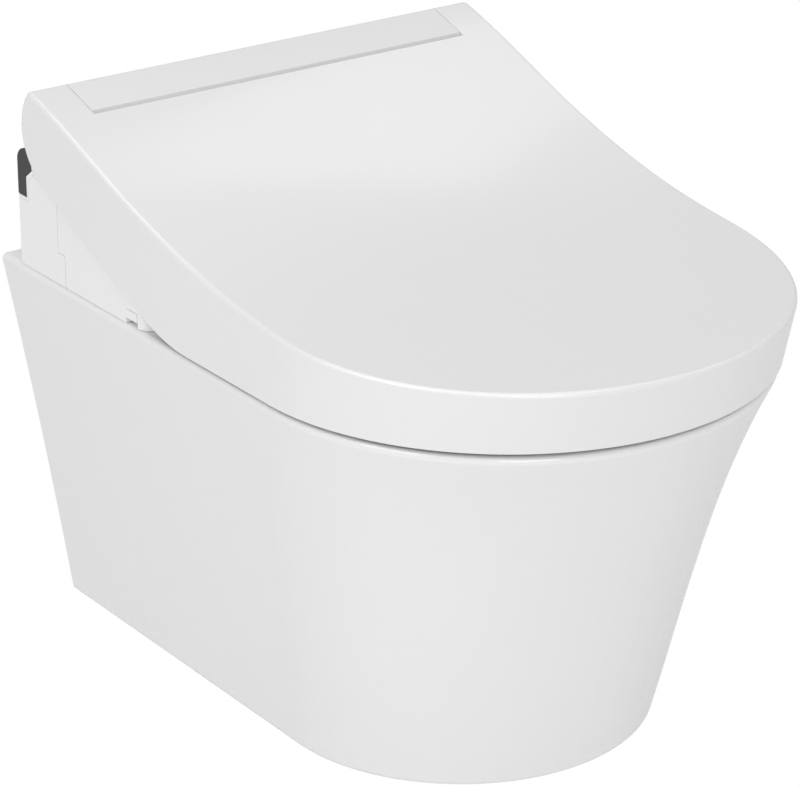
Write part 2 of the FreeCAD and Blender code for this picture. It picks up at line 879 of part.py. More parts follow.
def lid_shell():
    """Lid with its skirt, hinge hubs and the recess for the strip."""
    outside = lid_outside()
    shell = outside.cut(lid_space())
    groove_front = strip_front_setback + strip_groove
    recess_half = strip_half_length + seam_gap
    shelf = outside.common(strip_space(recess_half + strip_floor, groove_front + strip_floor,
                                       strip_thickness + strip_floor))
    shell = shell.fuse(shelf).cut(strip_space(recess_half, groove_front, strip_thickness))
    hub = rod_x(lid_hub_inner, lid_inner_half + lid_wall / 2, hinge_y, hinge_z, hub_radius)
    stay = box(lid_hub_inner, lid_inner_half + lid_wall / 2, hinge_y - hub_stay_width / 2,
               hinge_y + hub_stay_width / 2, hinge_z, lid_crest_z).common(outside)
    shell = shell.fuse([hub, mirrored(hub), stay, mirrored(stay)])
    right = rod_x(lid_hub_inner - past, lid_inner_half, hinge_y, hinge_z, bush_radius)
    left = rod_x(-lid_inner_half, -lid_hub_inner + past, hinge_y, hinge_z, pin_radius)
    notch = box(bracket_outer, lid_inner_half, hinge_y + lid_notch_start, 0, lid_edge_z,
                hinge_z + lid_notch_height)
    return shell.cut([right, left, notch, mirrored(notch)])


def lid_strip():
    """Flush strip let into the top of the lid."""
    return lid_outside().common(strip_space(strip_half_length, strip_front_setback,
                                            strip_thickness - running_gap))


def lid_pin():
    """Left pin: fixed in the lid, it turns in the bracket, the seat arm and the damper."""
    return rod_x(-lid_inner_half + fit_gap, -hump_half_width + damper_length - pin_end_gap, hinge_y,
                 hinge_z, pin_radius)


def seat_pin():
    """Right pin: fixed in the seat arm, it turns in the damper, the bracket and the lid."""
    return rod_x(hump_half_width - damper_length + pin_end_gap, lid_inner_half - fit_gap, hinge_y, hinge_z,
                 pin_radius)


def bush(x0, x1):
    return tube_x(x0, x1, hinge_y, hinge_z, bush_radius, pin_radius + running_gap)


def damper(side):
    """Rotary damper that slows the lid or the seat."""
    inner = hump_half_width - damper_length
    body = tube_x(inner, hump_half_width, hinge_y, hinge_z, damper_radius, pin_radius + running_gap)
    cap = rod_x(inner, inner + damper_cap, hinge_y, hinge_z, damper_radius)
    half = damper_key_width / 2
    key = box(inner, hump_half_width, hinge_y - damper_radius - damper_key_height, hinge_y, hinge_z - half,
              hinge_z + half)
    key = key.cut(rod_x(inner, hump_half_width, hinge_y, hinge_z, (damper_radius + pin_radius) / 2))
    whole = body.fuse([cap, key])
    return whole if side > 0 else mirrored(whole)


def hinge_bracket(side):
    """Tower that carries the hinge line, screwed on the casing beside the seat arm."""
    boss = rod_x(bracket_inner, bracket_outer, hinge_y, hinge_z, bracket_boss_radius)
    upper_front = polar(bracket_boss_radius, bracket_front_angle)
    upper_rear = polar(bracket_boss_radius, bracket_rear_angle)
    neck_rear = polar(bracket_neck_radius, bracket_neck_angle)
    foot_rear = (neck_rear[0] - bracket_thickness / 3, wing_top)
    foot_top = wing_top + bracket_foot_height
    rise = (-bracket_foot_front + bracket_toe_length, foot_top + bracket_thickness)
    neck = polygon_x([upper_front, upper_rear, neck_rear, foot_rear, (-bracket_foot_front, wing_top),
                      (-bracket_foot_front, foot_top), rise], bracket_inner, bracket_outer)
    pocket_low = foot_top + plastic_wall
    pocket_top = (foot_rear[0] - 2 * bracket_pocket_inset, hinge_z - bracket_pocket_drop)
    window = polygon_x([pocket_top, (foot_rear[0] - bracket_pocket_inset, pocket_low),
                        (rise[0] + bracket_pocket_toe, pocket_low)], bracket_inner + plastic_wall,
                        bracket_outer + past)
    tower = boss.fuse(neck).cut(window)
    for x, y in bracket_screw_places():
        tower = tower.cut(rod((x, y, wing_top - past), (x, y, tray_top + case_screw_length), screw_radius))
    tower = tower.cut(rod_x(bracket_inner - past, bracket_outer + past, hinge_y, hinge_z, bush_radius))
    return tower if side > 0 else mirrored(tower)


def under_lid(drop, x_half):
    """Solid below a line that follows the lid's top at a distance."""
    top, points = top_curve(drop)
    low_z = foot_z
    rear = points[-1] + Vector(0, *hump_tail)
    outline = [
        top,
        Part.LineSegment(points[-1], rear).toShape(),
        Part.LineSegment(rear, Vector(0, rear.y, low_z)).toShape(),
        Part.LineSegment(Vector(0, rear.y, low_z), Vector(0, points[0].y, low_z)).toShape(),
        Part.LineSegment(Vector(0, points[0].y, low_z), points[0]).toShape(),
    ]
    return side_prism(outline, -x_half, x_half)


def below_lid_edge(rise):
    """Solid below the lid's lower side edge, raised so that the covers reach inside the skirt."""
    rear, foot, level = lid_lower_points()
    slope = (rear[1] - foot[1]) / (rear[0] - foot[0])
    top_rear = (rear[0] + cover_edge_rear_run, rear[1] + cover_edge_rear_run * slope + rise)
    top_front = (foot[0], foot[1] + rise)
    end = (level[0] - cover_edge_front_run, level[1] + rise)
    return polygon_x([top_rear, top_front, end, (end[0], foot_z), (top_rear[0], foot_z)], -lid_half,
                     lid_half)


def hinge_sweep():
    """Round space about the hinge line that the lid's rear turns through."""
    return rod_x(-lid_half, lid_half, hinge_y, hinge_z, lid_rear_radius + sweep_gap)


def rim_clearance():
    """Deck and its rounded shoulders, grown by a gap, that the covers stay clear of."""
    inner = pan_half - rim_round
    grown = rim_round + slide_gap
    long = pan_depth
    shoulder = rod((inner, -long, rim_z - rim_round), (inner, wall_overrun, rim_z - rim_round), grown)
    middle = box(-inner, inner, -long, wall_overrun, foot_z, rim_z + case_lift)
    side = box(-inner - grown, inner + grown, -long, wall_overrun, foot_z, rim_z - rim_round)
    return middle.fuse([shoulder, mirrored(shoulder), side])


def tray_outline(inset):
    """Plan rectangle of the lower case."""
    half = unit_half - plastic_wall - inset
    rear = -unit_rear - plastic_wall - inset
    front = -unit_side_front + plastic_wall + inset
    return half, rear, front


def lower_case():
    """Tray of the unit, with the channel that slides over the base plate."""
    shapes = []
    for inset, z in ((0.0, unit_z), (plastic_wall, unit_z + case_floor)):
        half, rear, front = tray_outline(inset)
        corners = [Vector(x, y, z) for x, y in ((-half, front), (half, front), (half, rear), (-half, rear))]
        shapes.append(Part.Face(rounded_wire(corners, unit_corner - inset)))
    half, rear, front = tray_outline(0.0)
    tray = shapes[0].extrude(Vector(0, 0, tray_height)).cut(shapes[1].extrude(Vector(0, 0, tray_height)))
    wall = plastic_wall
    block = box(-channel_half - wall, channel_half + wall, channel_front - wall, rear - past, unit_z,
                channel_top + wall)
    posts = []
    board_x = board_size[0] / 2 - board_post_inset
    board_y = board_middle_y()
    board_reach = board_size[1] / 2 - board_post_inset
    for x in (board_offset - board_x, board_offset + board_x):
        for y in (board_y - board_reach, board_y + board_reach):
            posts.append(rod((x, y, unit_z + case_floor / 2), (x, y, board_z()), board_post_radius))
    for x, y in case_screw_places():
        for side in (-1, 1):
            posts.append(rod((side * x, y, unit_z + case_floor / 2), (side * x, y, tray_top),
                             screw_post_radius))
    tray = tray.fuse([block] + posts)
    for x, y in case_screw_places():
        hole = rod((x, y, wing_top - case_screw_length), (x, y, tray_top + past), screw_radius)
        tray = tray.cut([hole, mirrored(hole)])
    channel = box(-channel_half, channel_half, channel_front, past, rim_z - past, channel_top)
    exit_slot = box(-wand_slot_half, wand_slot_half, front - past, -wand_slot_rear, rim_z, tray_top + past)
    stem_z = button_z() - button_height / 2 - fit_gap
    stem_half = stem_width / 2 + slide_gap
    stem = box(-half - past, -half + button_travel, -button_setback - stem_half,
               -button_setback + stem_half, stem_z,
               stem_z + stem_height + 2 * fit_gap)
    notch_half = button_width / 2 + fit_gap
    notch = box(-half - past, -half + button_travel, -button_setback - notch_half,
                -button_setback + notch_half, rim_z,
                button_z() + button_height / 2 + fit_gap)
    return tray.cut([channel, exit_slot, stem, notch]).cut(rim_clearance())


def board_middle_y():
    return -(unit_rear + panel_depth + board_size[1] / 2 + board_rear_gap)


def board_z():
    return channel_top + board_lift


def button_z():
    return rim_z + button_low + button_height / 2


def upper_case():
    """Moulded cover of the unit: rear deck, raised front and the wings under the seat arms."""
    half = hump_half_width
    rear_wall = -(unit_rear + panel_depth + panel_inset)
    _, tray_rear, tray_front = tray_outline(0.0)
    shells = []
    for inset in (0.0, plastic_wall):
        h = half - inset
        low = tray_top - inset
        raised = box(-h, h, -unit_front + inset, -hump_rear - inset, low, rim_z + cover_reach)
        raised = raised.common(under_lid(lid_wall + hump_clearance + inset, lid_half))
        front_edge = [e for e in raised.Edges if abs(e.BoundBox.XLength - 2 * h) < touch
                      and e.BoundBox.YMax < -unit_front + inset + touch
                      and e.BoundBox.ZMin > tray_top + hump_round]
        raised = raised.makeFillet(hump_round - inset, front_edge)
        deck = box(-h, h, -hump_rear - inset - past, rear_wall - inset, low, rear_deck_z - inset)
        nose = box(-h, h, -unit_front + inset, tray_front - seam_gap + inset, unit_z + case_floor - inset,
                   low + past)
        shells.append(raised.fuse([deck, nose]))
    cover = shells[0].cut(shells[1])
    barrel = rod_x(half - damper_length, half, hinge_y, hinge_z, damper_radius + damper_barrel_wall)
    upper, lower = [polar(damper_radius, angle) for angle in barrel_arm_angles]
    arm = polygon_x([upper, lower, (-hump_rear - past, hinge_z - barrel_arm_depth),
                     (-hump_rear - past, hinge_z + past)],
                    half - damper_length, half)
    wing = box(half - past, unit_half - wing_side_gap, tray_front + plastic_wall, tray_rear, tray_top,
               wing_top)
    cover = cover.fuse([barrel, mirrored(barrel), arm, mirrored(arm), wing, mirrored(wing)])
    bore = rod_x(half - damper_length, half + past, hinge_y, hinge_z, damper_radius + running_gap)
    key_half = damper_key_width / 2 + fit_gap
    key = box(half - damper_length, half + past, hinge_y - damper_radius - damper_key_height - fit_gap,
              hinge_y,
              hinge_z - key_half, hinge_z + key_half)
    wand_mouth = box(-wand_slot_half, wand_slot_half, -unit_front - past, -unit_front + plastic_wall + past,
                     rim_z,
                     rim_z + wand_mouth_height)
    air_mouth = box(blower_offset + air_slot_margin, blower_offset + blower_width - air_slot_margin,
                    -unit_front - past,
                    -unit_front + 2 * plastic_wall, duct_low_z(), duct_low_z() + air_slot_height)
    inlet_z = rim_z + inlet_fitting_height
    inlet_way = rod((inlet_fitting_offset, rear_wall - 2 * plastic_wall, inlet_z),
                    (inlet_fitting_offset, rear_wall + 2 * plastic_wall, inlet_z),
                    inlet_thread_radius + seam_gap)
    tools = [bore, mirrored(bore), key, mirrored(key), wand_mouth, air_mouth, inlet_way]
    for x, y in case_screw_places() + bracket_screw_places():
        hole = rod((x, y, tray_top - past), (x, y, wing_top + past), screw_radius)
        tools += [hole, mirrored(hole)]
    return cover.cut(tools)


def case_screw_places():
    """Right-hand places of the screws that hold the upper case to the tray."""
    x = (bracket_inner + bracket_outer) / 2
    _, rear, front = tray_outline(0.0)
    return [(x, front + case_screw_inset), (x, rear - case_screw_inset)]


def bracket_screw_places():
    x = (bracket_inner + bracket_outer) / 2
    return [(x, -bracket_foot_front + case_screw_inset), (x, -bracket_foot_front + bracket_screw_pitch)]


def screw(x, y, head_z, length, direction):
    """Pan-head screw; the shank runs from under the head, up or down."""
    shank = rod((x, y, head_z), (x, y, head_z + direction * length), screw_radius)
    head = rod((x, y, head_z - direction * screw_head_height), (x, y, head_z), 2 * screw_radius)
    return shank.fuse(head)


def case_screws():
    """Screws down through the wings into the tray's posts."""
    screws = [screw(x, y, wing_top, case_screw_length, -1) for x, y in case_screw_places()]
    return Part.makeCompound(screws + [mirrored(piece) for piece in screws])


def bracket_screws():
    """Screws up through the wings into the hinge brackets."""
    screws = [screw(x, y, tray_top, case_screw_length, 1) for x, y in bracket_screw_places()]
    return Part.makeCompound(screws + [mirrored(piece) for piece in screws])


def duct_low_z():
    return tray_top + duct_lift


def cover_plan(points, radius, thickness):
    """Standing wall along one side, round a corner, given outside points in plan."""
    low = rim_z - rim_round
    outside = round_path([Vector(x, y, low) for x, y in points], radius)
    inside = round_path([Vector(x, y, low) for x, y in thickness], radius - plastic_wall)
    ends = []
    for a, b in ((outside.Vertexes[-1], inside.Vertexes[-1]), (inside.Vertexes[0], outside.Vertexes[0])):
        ends.append(Part.LineSegment(a.Point, b.Point).toShape())
    wire = Part.Wire(Part.__sortEdges__(outside.Edges + ends + inside.Edges))
    return Part.Face(wire).extrude(Vector(0, 0, cover_reach))


def seam_line(rear_side):
    """Space on one side of the jogged seam between the rear cover and a side cover."""
    gap = seam_gap / 2 if rear_side else -seam_gap / 2
    jog = rim_z + seam_jog_height
    upper = -seam_upper_setback + gap
    lower = -seam_lower_setback + gap
    jog_z = jog - gap
    far = wall_overrun if rear_side else -lid_slope_end
    return polygon_x([(far, foot_z), (lower, foot_z), (lower, jog_z), (upper, jog_z),
                      (upper, rim_z + cover_reach),
                      (far, rim_z + cover_reach)], -lid_half, lid_half)


def side_cover(side):
    """Front part of the unit's side, turned inwards at its front end."""
    wall = plastic_wall
    inner_end = hump_half_width + seam_gap
    rear = -unit_rear
    outside = [(unit_half, rear), (unit_half, -unit_side_front), (inner_end, -unit_side_front)]
    inside = [(unit_half - wall, rear), (unit_half - wall, -unit_side_front + wall),
              (inner_end, -unit_side_front + wall)]
    cover = cover_plan(outside, unit_corner, inside)
    roof_reach = bracket_outer + seam_gap
    roof = box(roof_reach, unit_half - wall / 2, -unit_side_front + wall, rear, rim_z, rim_z + cover_reach)
    wing_space = box(0, lid_half, -unit_front, 0, foot_z, wing_top + fit_gap)
    roof = roof.cut([below_lid_edge(cover_overlap - wall), wing_space])
    cover = cover.fuse(roof).common(below_lid_edge(cover_overlap)).common(seam_line(False))
    cover = cover.cut([rim_clearance(), hinge_sweep()])
    if side > 0:
        return cover
    cover = mirrored(cover)
    half = button_width / 2 + fit_gap
    top = button_z() + button_height / 2 + fit_gap
    notch = box(-unit_half - past, -unit_half + wall + past, -button_setback - half, -button_setback + half,
                rim_z - rim_round, top)
    return cover.cut(notch)


def rear_cover():
    """Cover that wraps round the back of the unit from one side seam to the other."""
    wall = plastic_wall
    front = -unit_side_front
    outside = [(unit_half, front), (unit_half, -unit_rear), (-unit_half, -unit_rear), (-unit_half, front)]
    inside = [(unit_half - wall, front), (unit_half - wall, -unit_rear - wall),
              (-unit_half + wall, -unit_rear - wall),
              (-unit_half + wall, front)]
    cover = cover_plan(outside, wall + seam_gap, inside)
    roof_reach = bracket_outer + seam_gap
    roof = box(roof_reach, unit_half - wall / 2, front, -unit_rear - wall / 2, rim_z, rim_z + cover_reach)
    roof = roof.cut(below_lid_edge(cover_overlap - wall))
    cover = cover.fuse([roof, mirrored(roof)]).common(below_lid_edge(cover_overlap)).common(seam_line(True))
    window = side_prism(panel_outline(seam_gap), -lid_half, lid_half)
    panel_front = -unit_rear - panel_depth
    above = box(-lid_half, lid_half, panel_front, past, rim_z + panel_bottom_height, rim_z + cover_reach)
    top_end = box(-lid_half, lid_half, panel_front - panel_tip_room, past,
                  rim_z + panel_top_height - panel_top_room,
                  rim_z + cover_reach)
    channel = box(-channel_half, channel_half, -unit_rear - 2 * wall, past, rim_z - past, channel_top)
    inlet_z = rim_z + inlet_fitting_height
    water = rod((inlet_fitting_offset, -unit_rear - 2 * wall, inlet_z),
                (inlet_fitting_offset, past, inlet_z),
                inlet_thread_radius + 3 * seam_gap)
    cord = rod((-gland_offset, -unit_rear - 2 * wall, inlet_z), (-gland_offset, past, inlet_z),
               gland_neck_radius)
    cover = cover.cut([window, above, top_end, channel, water, cord, rim_clearance(), hinge_sweep()])
    line = side_prism(panel_outline(frame_width + frame_line), unit_half - frame_depth, lid_half)
    line = line.cut(side_prism(panel_outline(frame_width), unit_half - frame_depth, lid_half))
    return cover.cut([line, mirrored(line)])


def panel_outline(grow):
    """Side outline of the charcoal rear panel."""
    rear = -unit_rear - panel_inset + grow
    low = rim_z + panel_bottom_height - grow
    front = -unit_rear - panel_depth - grow
    top = rim_z + panel_top_height
    jog = rim_z + panel_bottom_height + panel_jog_rise
    tip = (front - panel_tip[0], jog + panel_tip[1] - grow)
    peak = (front - panel_peak, top + grow)
    shoulder = (rear - panel_shoulder[0], top - panel_shoulder[1] + grow)
    bend = (rear - panel_bend[0], top - panel_bend[1] + grow)
    edge = (rear, top - panel_edge_drop)
    return [
        line_yz((rear, low), (front, low)),
        line_yz((front, low), (front, jog - grow)),
        line_yz((front, jog - grow), tip),
        line_yz(tip, peak),
        line_yz(peak, shoulder),
        arc_yz(shoulder, bend, edge),
        line_yz(edge, (rear, low)),
    ]


def rear_panel():
    """Charcoal panel across the back, with a row of vents."""
    half = unit_half - fit_gap
    bar = side_prism(panel_outline(0.0), -half, half)
    rear = -unit_rear - panel_inset
    low = rim_z + panel_bottom_height
    hollow = box(-half + plastic_wall, half - plastic_wall, rear - 3 * panel_depth, rear - plastic_wall,
                 low + plastic_wall, low + panel_hollow_height)
    bar = bar.cut(hollow)
    pitch = 2 * half / (vent_count + 2)
    vents = []
    for i in range(vent_count):
        x = (i - (vent_count - 1) / 2) * pitch
        for level in range(vent_rows):
            z = low + (level + 1) * vent_pitch
            vents.append(box(x - vent_width / 2, x + vent_width / 2, rear - plastic_wall - past,
                             rear + past, z,
                             z + vent_height))
    return bar.cut(vents)


def seat_plan(inset, low, high):
    """Plan solid of the seat without its hole, drawn in by a wall."""
    half = seat_half - inset
    depth = seat_depth - inset
    back = -(unit_front + seat_rear_gap + inset)
    block = Part.Face(u_wire(half, depth, low, back)).extrude(Vector(0, 0, high - low))
    corners = [e for e in block.Edges if abs(e.BoundBox.ZLength - (high - low)) < touch
               and e.BoundBox.YMin > back - touch]
    return block.makeFillet(seat_corner - inset, corners)


def seat_hole(grow, low, high):
    """Oval hole of the seat, grown by a wall."""
    half_length = (seat_hole_front - seat_hole_rear) / 2 + grow
    wire = ellipse_wire(-(seat_hole_front + seat_hole_rear) / 2, half_length, seat_hole_half_width + grow,
                        low)
    return Part.Face(wire).extrude(Vector(0, 0, high - low))


def seat_post_places():
    """Right-hand posts inside the seat that its base rests against."""
    reach = seat_half - seat_post_inset
    turn = math.radians(seat_post_angle)
    bend_end = seat_bend_y + 2 * seat_post_radius
    return [(reach, -seat_post_setback), (reach, bend_end),
            (reach * math.sin(turn), seat_bend_y - reach * math.cos(turn))]


def seat_top():
    """Upper shell of the seat with its two hinge arms."""
    low = rim_z + seat_lift
    high = low + seat_height
    ring = seat_plan(0.0, low, high).cut(seat_hole(0.0, low, high))
    edges = [e for e in ring.Edges if e.BoundBox.ZMin > high - touch]
    ring = ring.makeFillet(seat_round, edges)
    space = seat_plan(seat_wall, low - past, high - seat_wall).cut(seat_hole(seat_wall, low - past, high))
    ring = ring.cut(space)
    posts = []
    for x, y in seat_post_places():
        posts.append(rod((x, y, low + seat_wall), (x, y, high - seat_wall / 2), seat_post_radius))
    hub = rod_x(arm_inner, arm_outer, hinge_y, hinge_z, hub_radius)
    back = -(unit_front + seat_rear_gap)
    upper, lower = [polar(hub_radius, angle) for angle in seat_arm_angles]
    heel_z = low + arm_heel_lift
    root = back - seat_wall
    arm = polygon_x([upper, lower, (-unit_side_front - arm_toe, wing_top + arm_wing_gap),
                     (back + arm_heel_gap, heel_z),
                     (root, heel_z), (root - arm_root_length, high - seat_wall - seam_gap),
                     (back - arm_shoulder[0], high + arm_shoulder[1])], arm_inner, arm_outer)
    ring = ring.fuse([hub, mirrored(hub), arm, mirrored(arm)] + posts + [mirrored(post) for post in posts])
    left = rod_x(-arm_outer - past, -arm_inner + past, hinge_y, hinge_z, bush_radius)
    right = rod_x(arm_inner - past, arm_outer + past, hinge_y, hinge_z, pin_radius)
    return ring.cut([left, right])


def seat_base():
    """Plate that closes the seat from below."""
    low = rim_z + seat_lift
    high = low + seat_wall
    inset = seat_wall + fit_gap
    return seat_plan(inset, low, high).cut(seat_hole(inset, low - past, high + past))


def seat_heater():
    """Heating sheet under the seat's roof."""
    high = rim_z + seat_lift + seat_height - seat_wall
    low = high - seat_heater_thickness
    inset = seat_round + seat_wall
    return seat_plan(inset, low, high).cut(seat_hole(inset, low - past, high + past))


def bumper_places():
    """Right-hand places of the rubber pads, midway across the seat's band."""
    reach = (seat_hole_half_width + seat_half) / 2
    turn = math.radians(bumper_angle)
    return [(reach, -(unit_front + seat_rear_gap + bumper_setback)),
            (reach * math.sin(turn), seat_bend_y - reach * math.cos(turn))]


def seat_bumpers():
    """Four rubber feet that the seat rests on the rim with."""
    low = rim_z + fit_gap
    high = rim_z + seat_lift
    pads = []
    for x, y in bumper_places():
        for side in (-1, 1):
            pads.append(rod((side * x, y, low), (side * x, y, high), bumper_radius))
    return Part.makeCompound(pads)


def lid_bumpers(shell):
    """Four rubber pads under the lid that meet the seat."""
    low = rim_z + seat_lift + seat_height + fit_gap
    pads = []
    for x, y in bumper_places():
        for side in (-1, 1):
            pad = rod((side * x, y, low), (side * x, y, low + bumper_reach), bumper_radius)
            pads.append(min(pad.cut(shell).Solids, key=lambda solid: solid.CenterOfMass.z))
    return Part.makeCompound(pads)


def tilted(shape):
    """Piece drawn along a level wand with its tip at the origin, set at the wand's slope."""
    turned = shape.copy()
    turned.rotate(Vector(0, 0, 0), Vector(1, 0, 0), wand_tilt)
    turned.translate(Vector(0, -wand_tip_setback, wand_tip_z))
    return turned


def tooth(base_half, tip_half, root, tip, width):
    """One straight-sided tooth that points along X, centred on Y."""
    corners = [(root, -base_half), (tip, -tip_half), (tip, tip_half), (root, base_half)]
    points = [Vector(x, y, -width / 2) for x, y in corners]
    return Part.Face(Part.makePolygon(points + points[:1])).extrude(Vector(0, 0, width))


def wand():
    """Washing wand with the rack along its side."""
    body = rod((0, tip_length, 0), (0, wand_length, 0), wand_radius)
    bore = rod((0, tip_length - past, 0), (0, wand_length + past, 0), wand_bore_radius)
    start = tip_length + rack_start
    bar = box(wand_radius - rack_bar_depth, rack_root, start, wand_length, -pinion_width / 2,
              pinion_width / 2)
    pitch = math.pi * rack_module
    middle_half = pitch / 4 - tooth_slack / 2
    root_half = middle_half + tooth_slope * (rack_pitch_line - rack_root)
    crest = rack_pitch_line + tooth_crest_ratio * rack_module
    crest_half = middle_half - tooth_slope * (crest - rack_pitch_line)
    teeth = []
    first = int((start - pinion_place) / pitch) + 1
    last = int((wand_length - pinion_place) / pitch) - 1
    for i in range(first, last + 1):
        piece = tooth(root_half, crest_half, rack_root - tooth_sink, crest, pinion_width)
        piece.translate(Vector(0, pinion_place + i * pitch, 0))
        teeth.append(piece)
    return tilted(body.fuse([bar] + teeth).cut(bore))


def wand_tip():
    """Nozzle head with its spray holes."""
    head = rod((0, 0, 0), (0, tip_length, 0), wand_radius)
    front = [e for e in head.Edges if e.BoundBox.YMax < touch]
    head = head.makeFillet(tip_round, front)
    holes = []
    for y in spray_rows:
        for x in (-spray_half_pitch, spray_half_pitch):
            holes.append(rod((x, y, 0), (x, y, wand_radius + past), spray_radius))
    holes.append(rod((0, tip_bore_start, 0), (0, tip_length + past, 0), wand_bore_radius))
    return tilted(head.cut(holes))


def wand_pinion():
    """Toothed wheel on its shaft that drives the rack."""
    root = pinion_radius - tooth_root_ratio * rack_module
    crest = pinion_radius + tooth_crest_ratio * rack_module
    hub = rod((0, 0, -pinion_width / 2), (0, 0, pinion_width / 2), root)
    pitch_angle = 360.0 / pinion_teeth
    middle_half = math.pi * rack_module / 4 - tooth_slack
    base_half = middle_half + wheel_root_share * tooth_slope * (pinion_radius - root)
    crest_half = middle_half - wheel_crest_share * tooth_slope * (crest - pinion_radius)
    teeth = []
    for i in range(pinion_teeth):
        piece = tooth(base_half, crest_half, root - 2 * tooth_sink, crest, pinion_width)
        piece.rotate(Vector(0, 0, 0), Vector(0, 0, 1), 180.0 + (i + 0.5) * pitch_angle)
        teeth.append(piece)
    shaft = rod((0, 0, -pinion_width / 2), (0, 0, pinion_width / 2 + pinion_shaft_length),
                pinion_shaft_radius)
    wheel = hub.fuse(teeth + [shaft])
    wheel.translate(Vector(pinion_x, pinion_place, 0))
    return tilted(wheel)


def wand_motor():
    """Geared motor above the pinion."""
    def upright(low, high, radius):
        return rod((pinion_x, pinion_place, low), (pinion_x, pinion_place, high), radius)

    top = motor_low + motor_length
    body = upright(motor_low, top, motor_radius)
    neck = upright(top, top + motor_neck_length, motor_neck_radius)
    bore = upright(motor_low - past, motor_low + motor_bore_depth, pinion_shaft_radius + running_gap)
    return tilted(body.fuse(neck).cut(bore))


def wand_guide():
    """Trough that the wand slides in, with the motor's seat, standing on the tray."""
    outer = wand_radius + fit_gap + guide_wall
    start = tip_length + guide_start
    end = wand_length - guide_end_gap
    trough = rod((0, start, 0), (0, end, 0), outer).common(box(-outer, outer, start, end, -outer,
                                                               guide_lip))
    foot_end = end - guide_foot_inset
    foot = box(-outer, outer, foot_end - guide_foot_length, foot_end, -outer - guide_foot_drop,
               -wand_radius)
    side = pinion_x + pinion_radius + shelf_margin
    near = pinion_place - motor_radius
    far = pinion_place + motor_radius
    shelf = box(wand_radius + guide_wall, side, near, far, shelf_low, motor_low)
    pillar = box(side - pillar_thickness, side, near, far, -guide_foot_drop,
                 shelf_low + shelf_thickness / 2)
    bridge = box(wand_radius / 2, side, pinion_place + bridge_gap, start + bridge_overlap,
                 -outer - pinion_side_gap,
                 -shelf_low)
    guide = tilted(trough.fuse([foot, shelf, pillar, bridge]))
    reach = wand_length + tip_length
    bore = tilted(rod((0, 0, 0), (0, reach, 0), wand_radius + fit_gap))
    rack_half = pinion_width / 2 + seam_gap
    rack_way = tilted(box(0, rack_pitch_line + rack_module + slide_gap, 0, reach, -rack_half, rack_half))
    shaft = tilted(rod((pinion_x, pinion_place, 0), (pinion_x, pinion_place, pinion_width),
                       pinion_shaft_radius + seam_gap))
    below = box(-pan_half, pan_half, -pan_depth, 0, foot_z, unit_z + case_floor)
    block = box(-channel_half, channel_half, channel_front - plastic_wall, 0, foot_z,
                channel_top + plastic_wall)
    return guide.cut([bore, rack_way, shaft, below, block])


def heater_tank():
    """Water heater block with two stub pipes."""
    length, depth, height = tank_size
    x1 = -wand_slot_half - tank_wand_gap
    y1 = -hump_rear - plastic_wall - tank_rear_gap
    low = channel_top + plastic_wall
    block = box(x1 - length, x1, y1 - depth, y1, low, low + height)
    upright = [e for e in block.Edges if e.BoundBox.ZLength > height - touch]
    block = block.makeFillet(tank_round, upright)
    z = low + height - stub_drop
    x = x1 - stub_inset
    y = y1 - depth / 2
    stubs = [rod((x, y1 - past, z), (x, y1 + stub_rear_length, z), stub_radius),
             rod((x1 - past, y, z), (x1 + stub_side_length, y, z), stub_radius)]
    return block.fuse(stubs)


def pump():
    """Small water pump lying on the tray beside the channel."""
    x = -channel_half - plastic_wall - pump_radius - pump_side_gap
    z = unit_z + case_floor + pump_radius
    rear = -pump_rear
    front = rear - pump_length
    port_y = front - pump_port_setback
    body = rod((x, front, z), (x, rear, z), pump_radius)
    head = rod((x, front - pump_head_length, z), (x, front, z), pump_radius - pump_head_step)
    port = rod((x, port_y, z), (x, port_y, z + pump_radius + pump_port_height), pump_port_radius)
    cradle = box(x - cradle_half_width, x + cradle_half_width, front + cradle_inset, rear - cradle_inset,
                 unit_z + case_floor, z - pump_radius / 2)
    return body.fuse([head, port, cradle])


def inlet_root():
    return -unit_rear + inlet_fitting_reach - inlet_fitting_length


def inlet_fitting():
    """Water inlet with an outside pipe thread, through the rear cover."""
    z = rim_z + inlet_fitting_height
    x = inlet_fitting_offset
    mouth = -unit_rear + inlet_fitting_reach
    collar = -unit_rear - plastic_wall - seam_gap
    body = rod((x, inlet_root(), z), (x, mouth, z), inlet_thread_radius)
    flange = rod((x, collar - inlet_flange, z), (x, collar, z), inlet_thread_radius + inlet_flange)
    bore = rod((x, inlet_root() - past, z), (x, mouth + past, z), inlet_bore_radius)
    return body.fuse(flange).cut(bore)


def inlet_filter():
    """Strainer in the inlet's bore."""
    z = rim_z + inlet_fitting_height
    x = inlet_fitting_offset
    root = inlet_root() + fit_gap
    length = inlet_fitting_length / 2
    cup = rod((x, root, z), (x, root + length, z), inlet_bore_radius)
    hollow = rod((x, root - past, z), (x, root + length - filter_wall, z), inlet_bore_radius - filter_wall)
    slots = []
    for i in range(filter_slots):
        y = root + (i + 1) * filter_pitch
        slots.append(box(x - inlet_bore_radius, x + inlet_bore_radius, y, y + filter_wall, z - filter_wall,
                         z + filter_wall))
    return cup.cut([hollow] + slots)


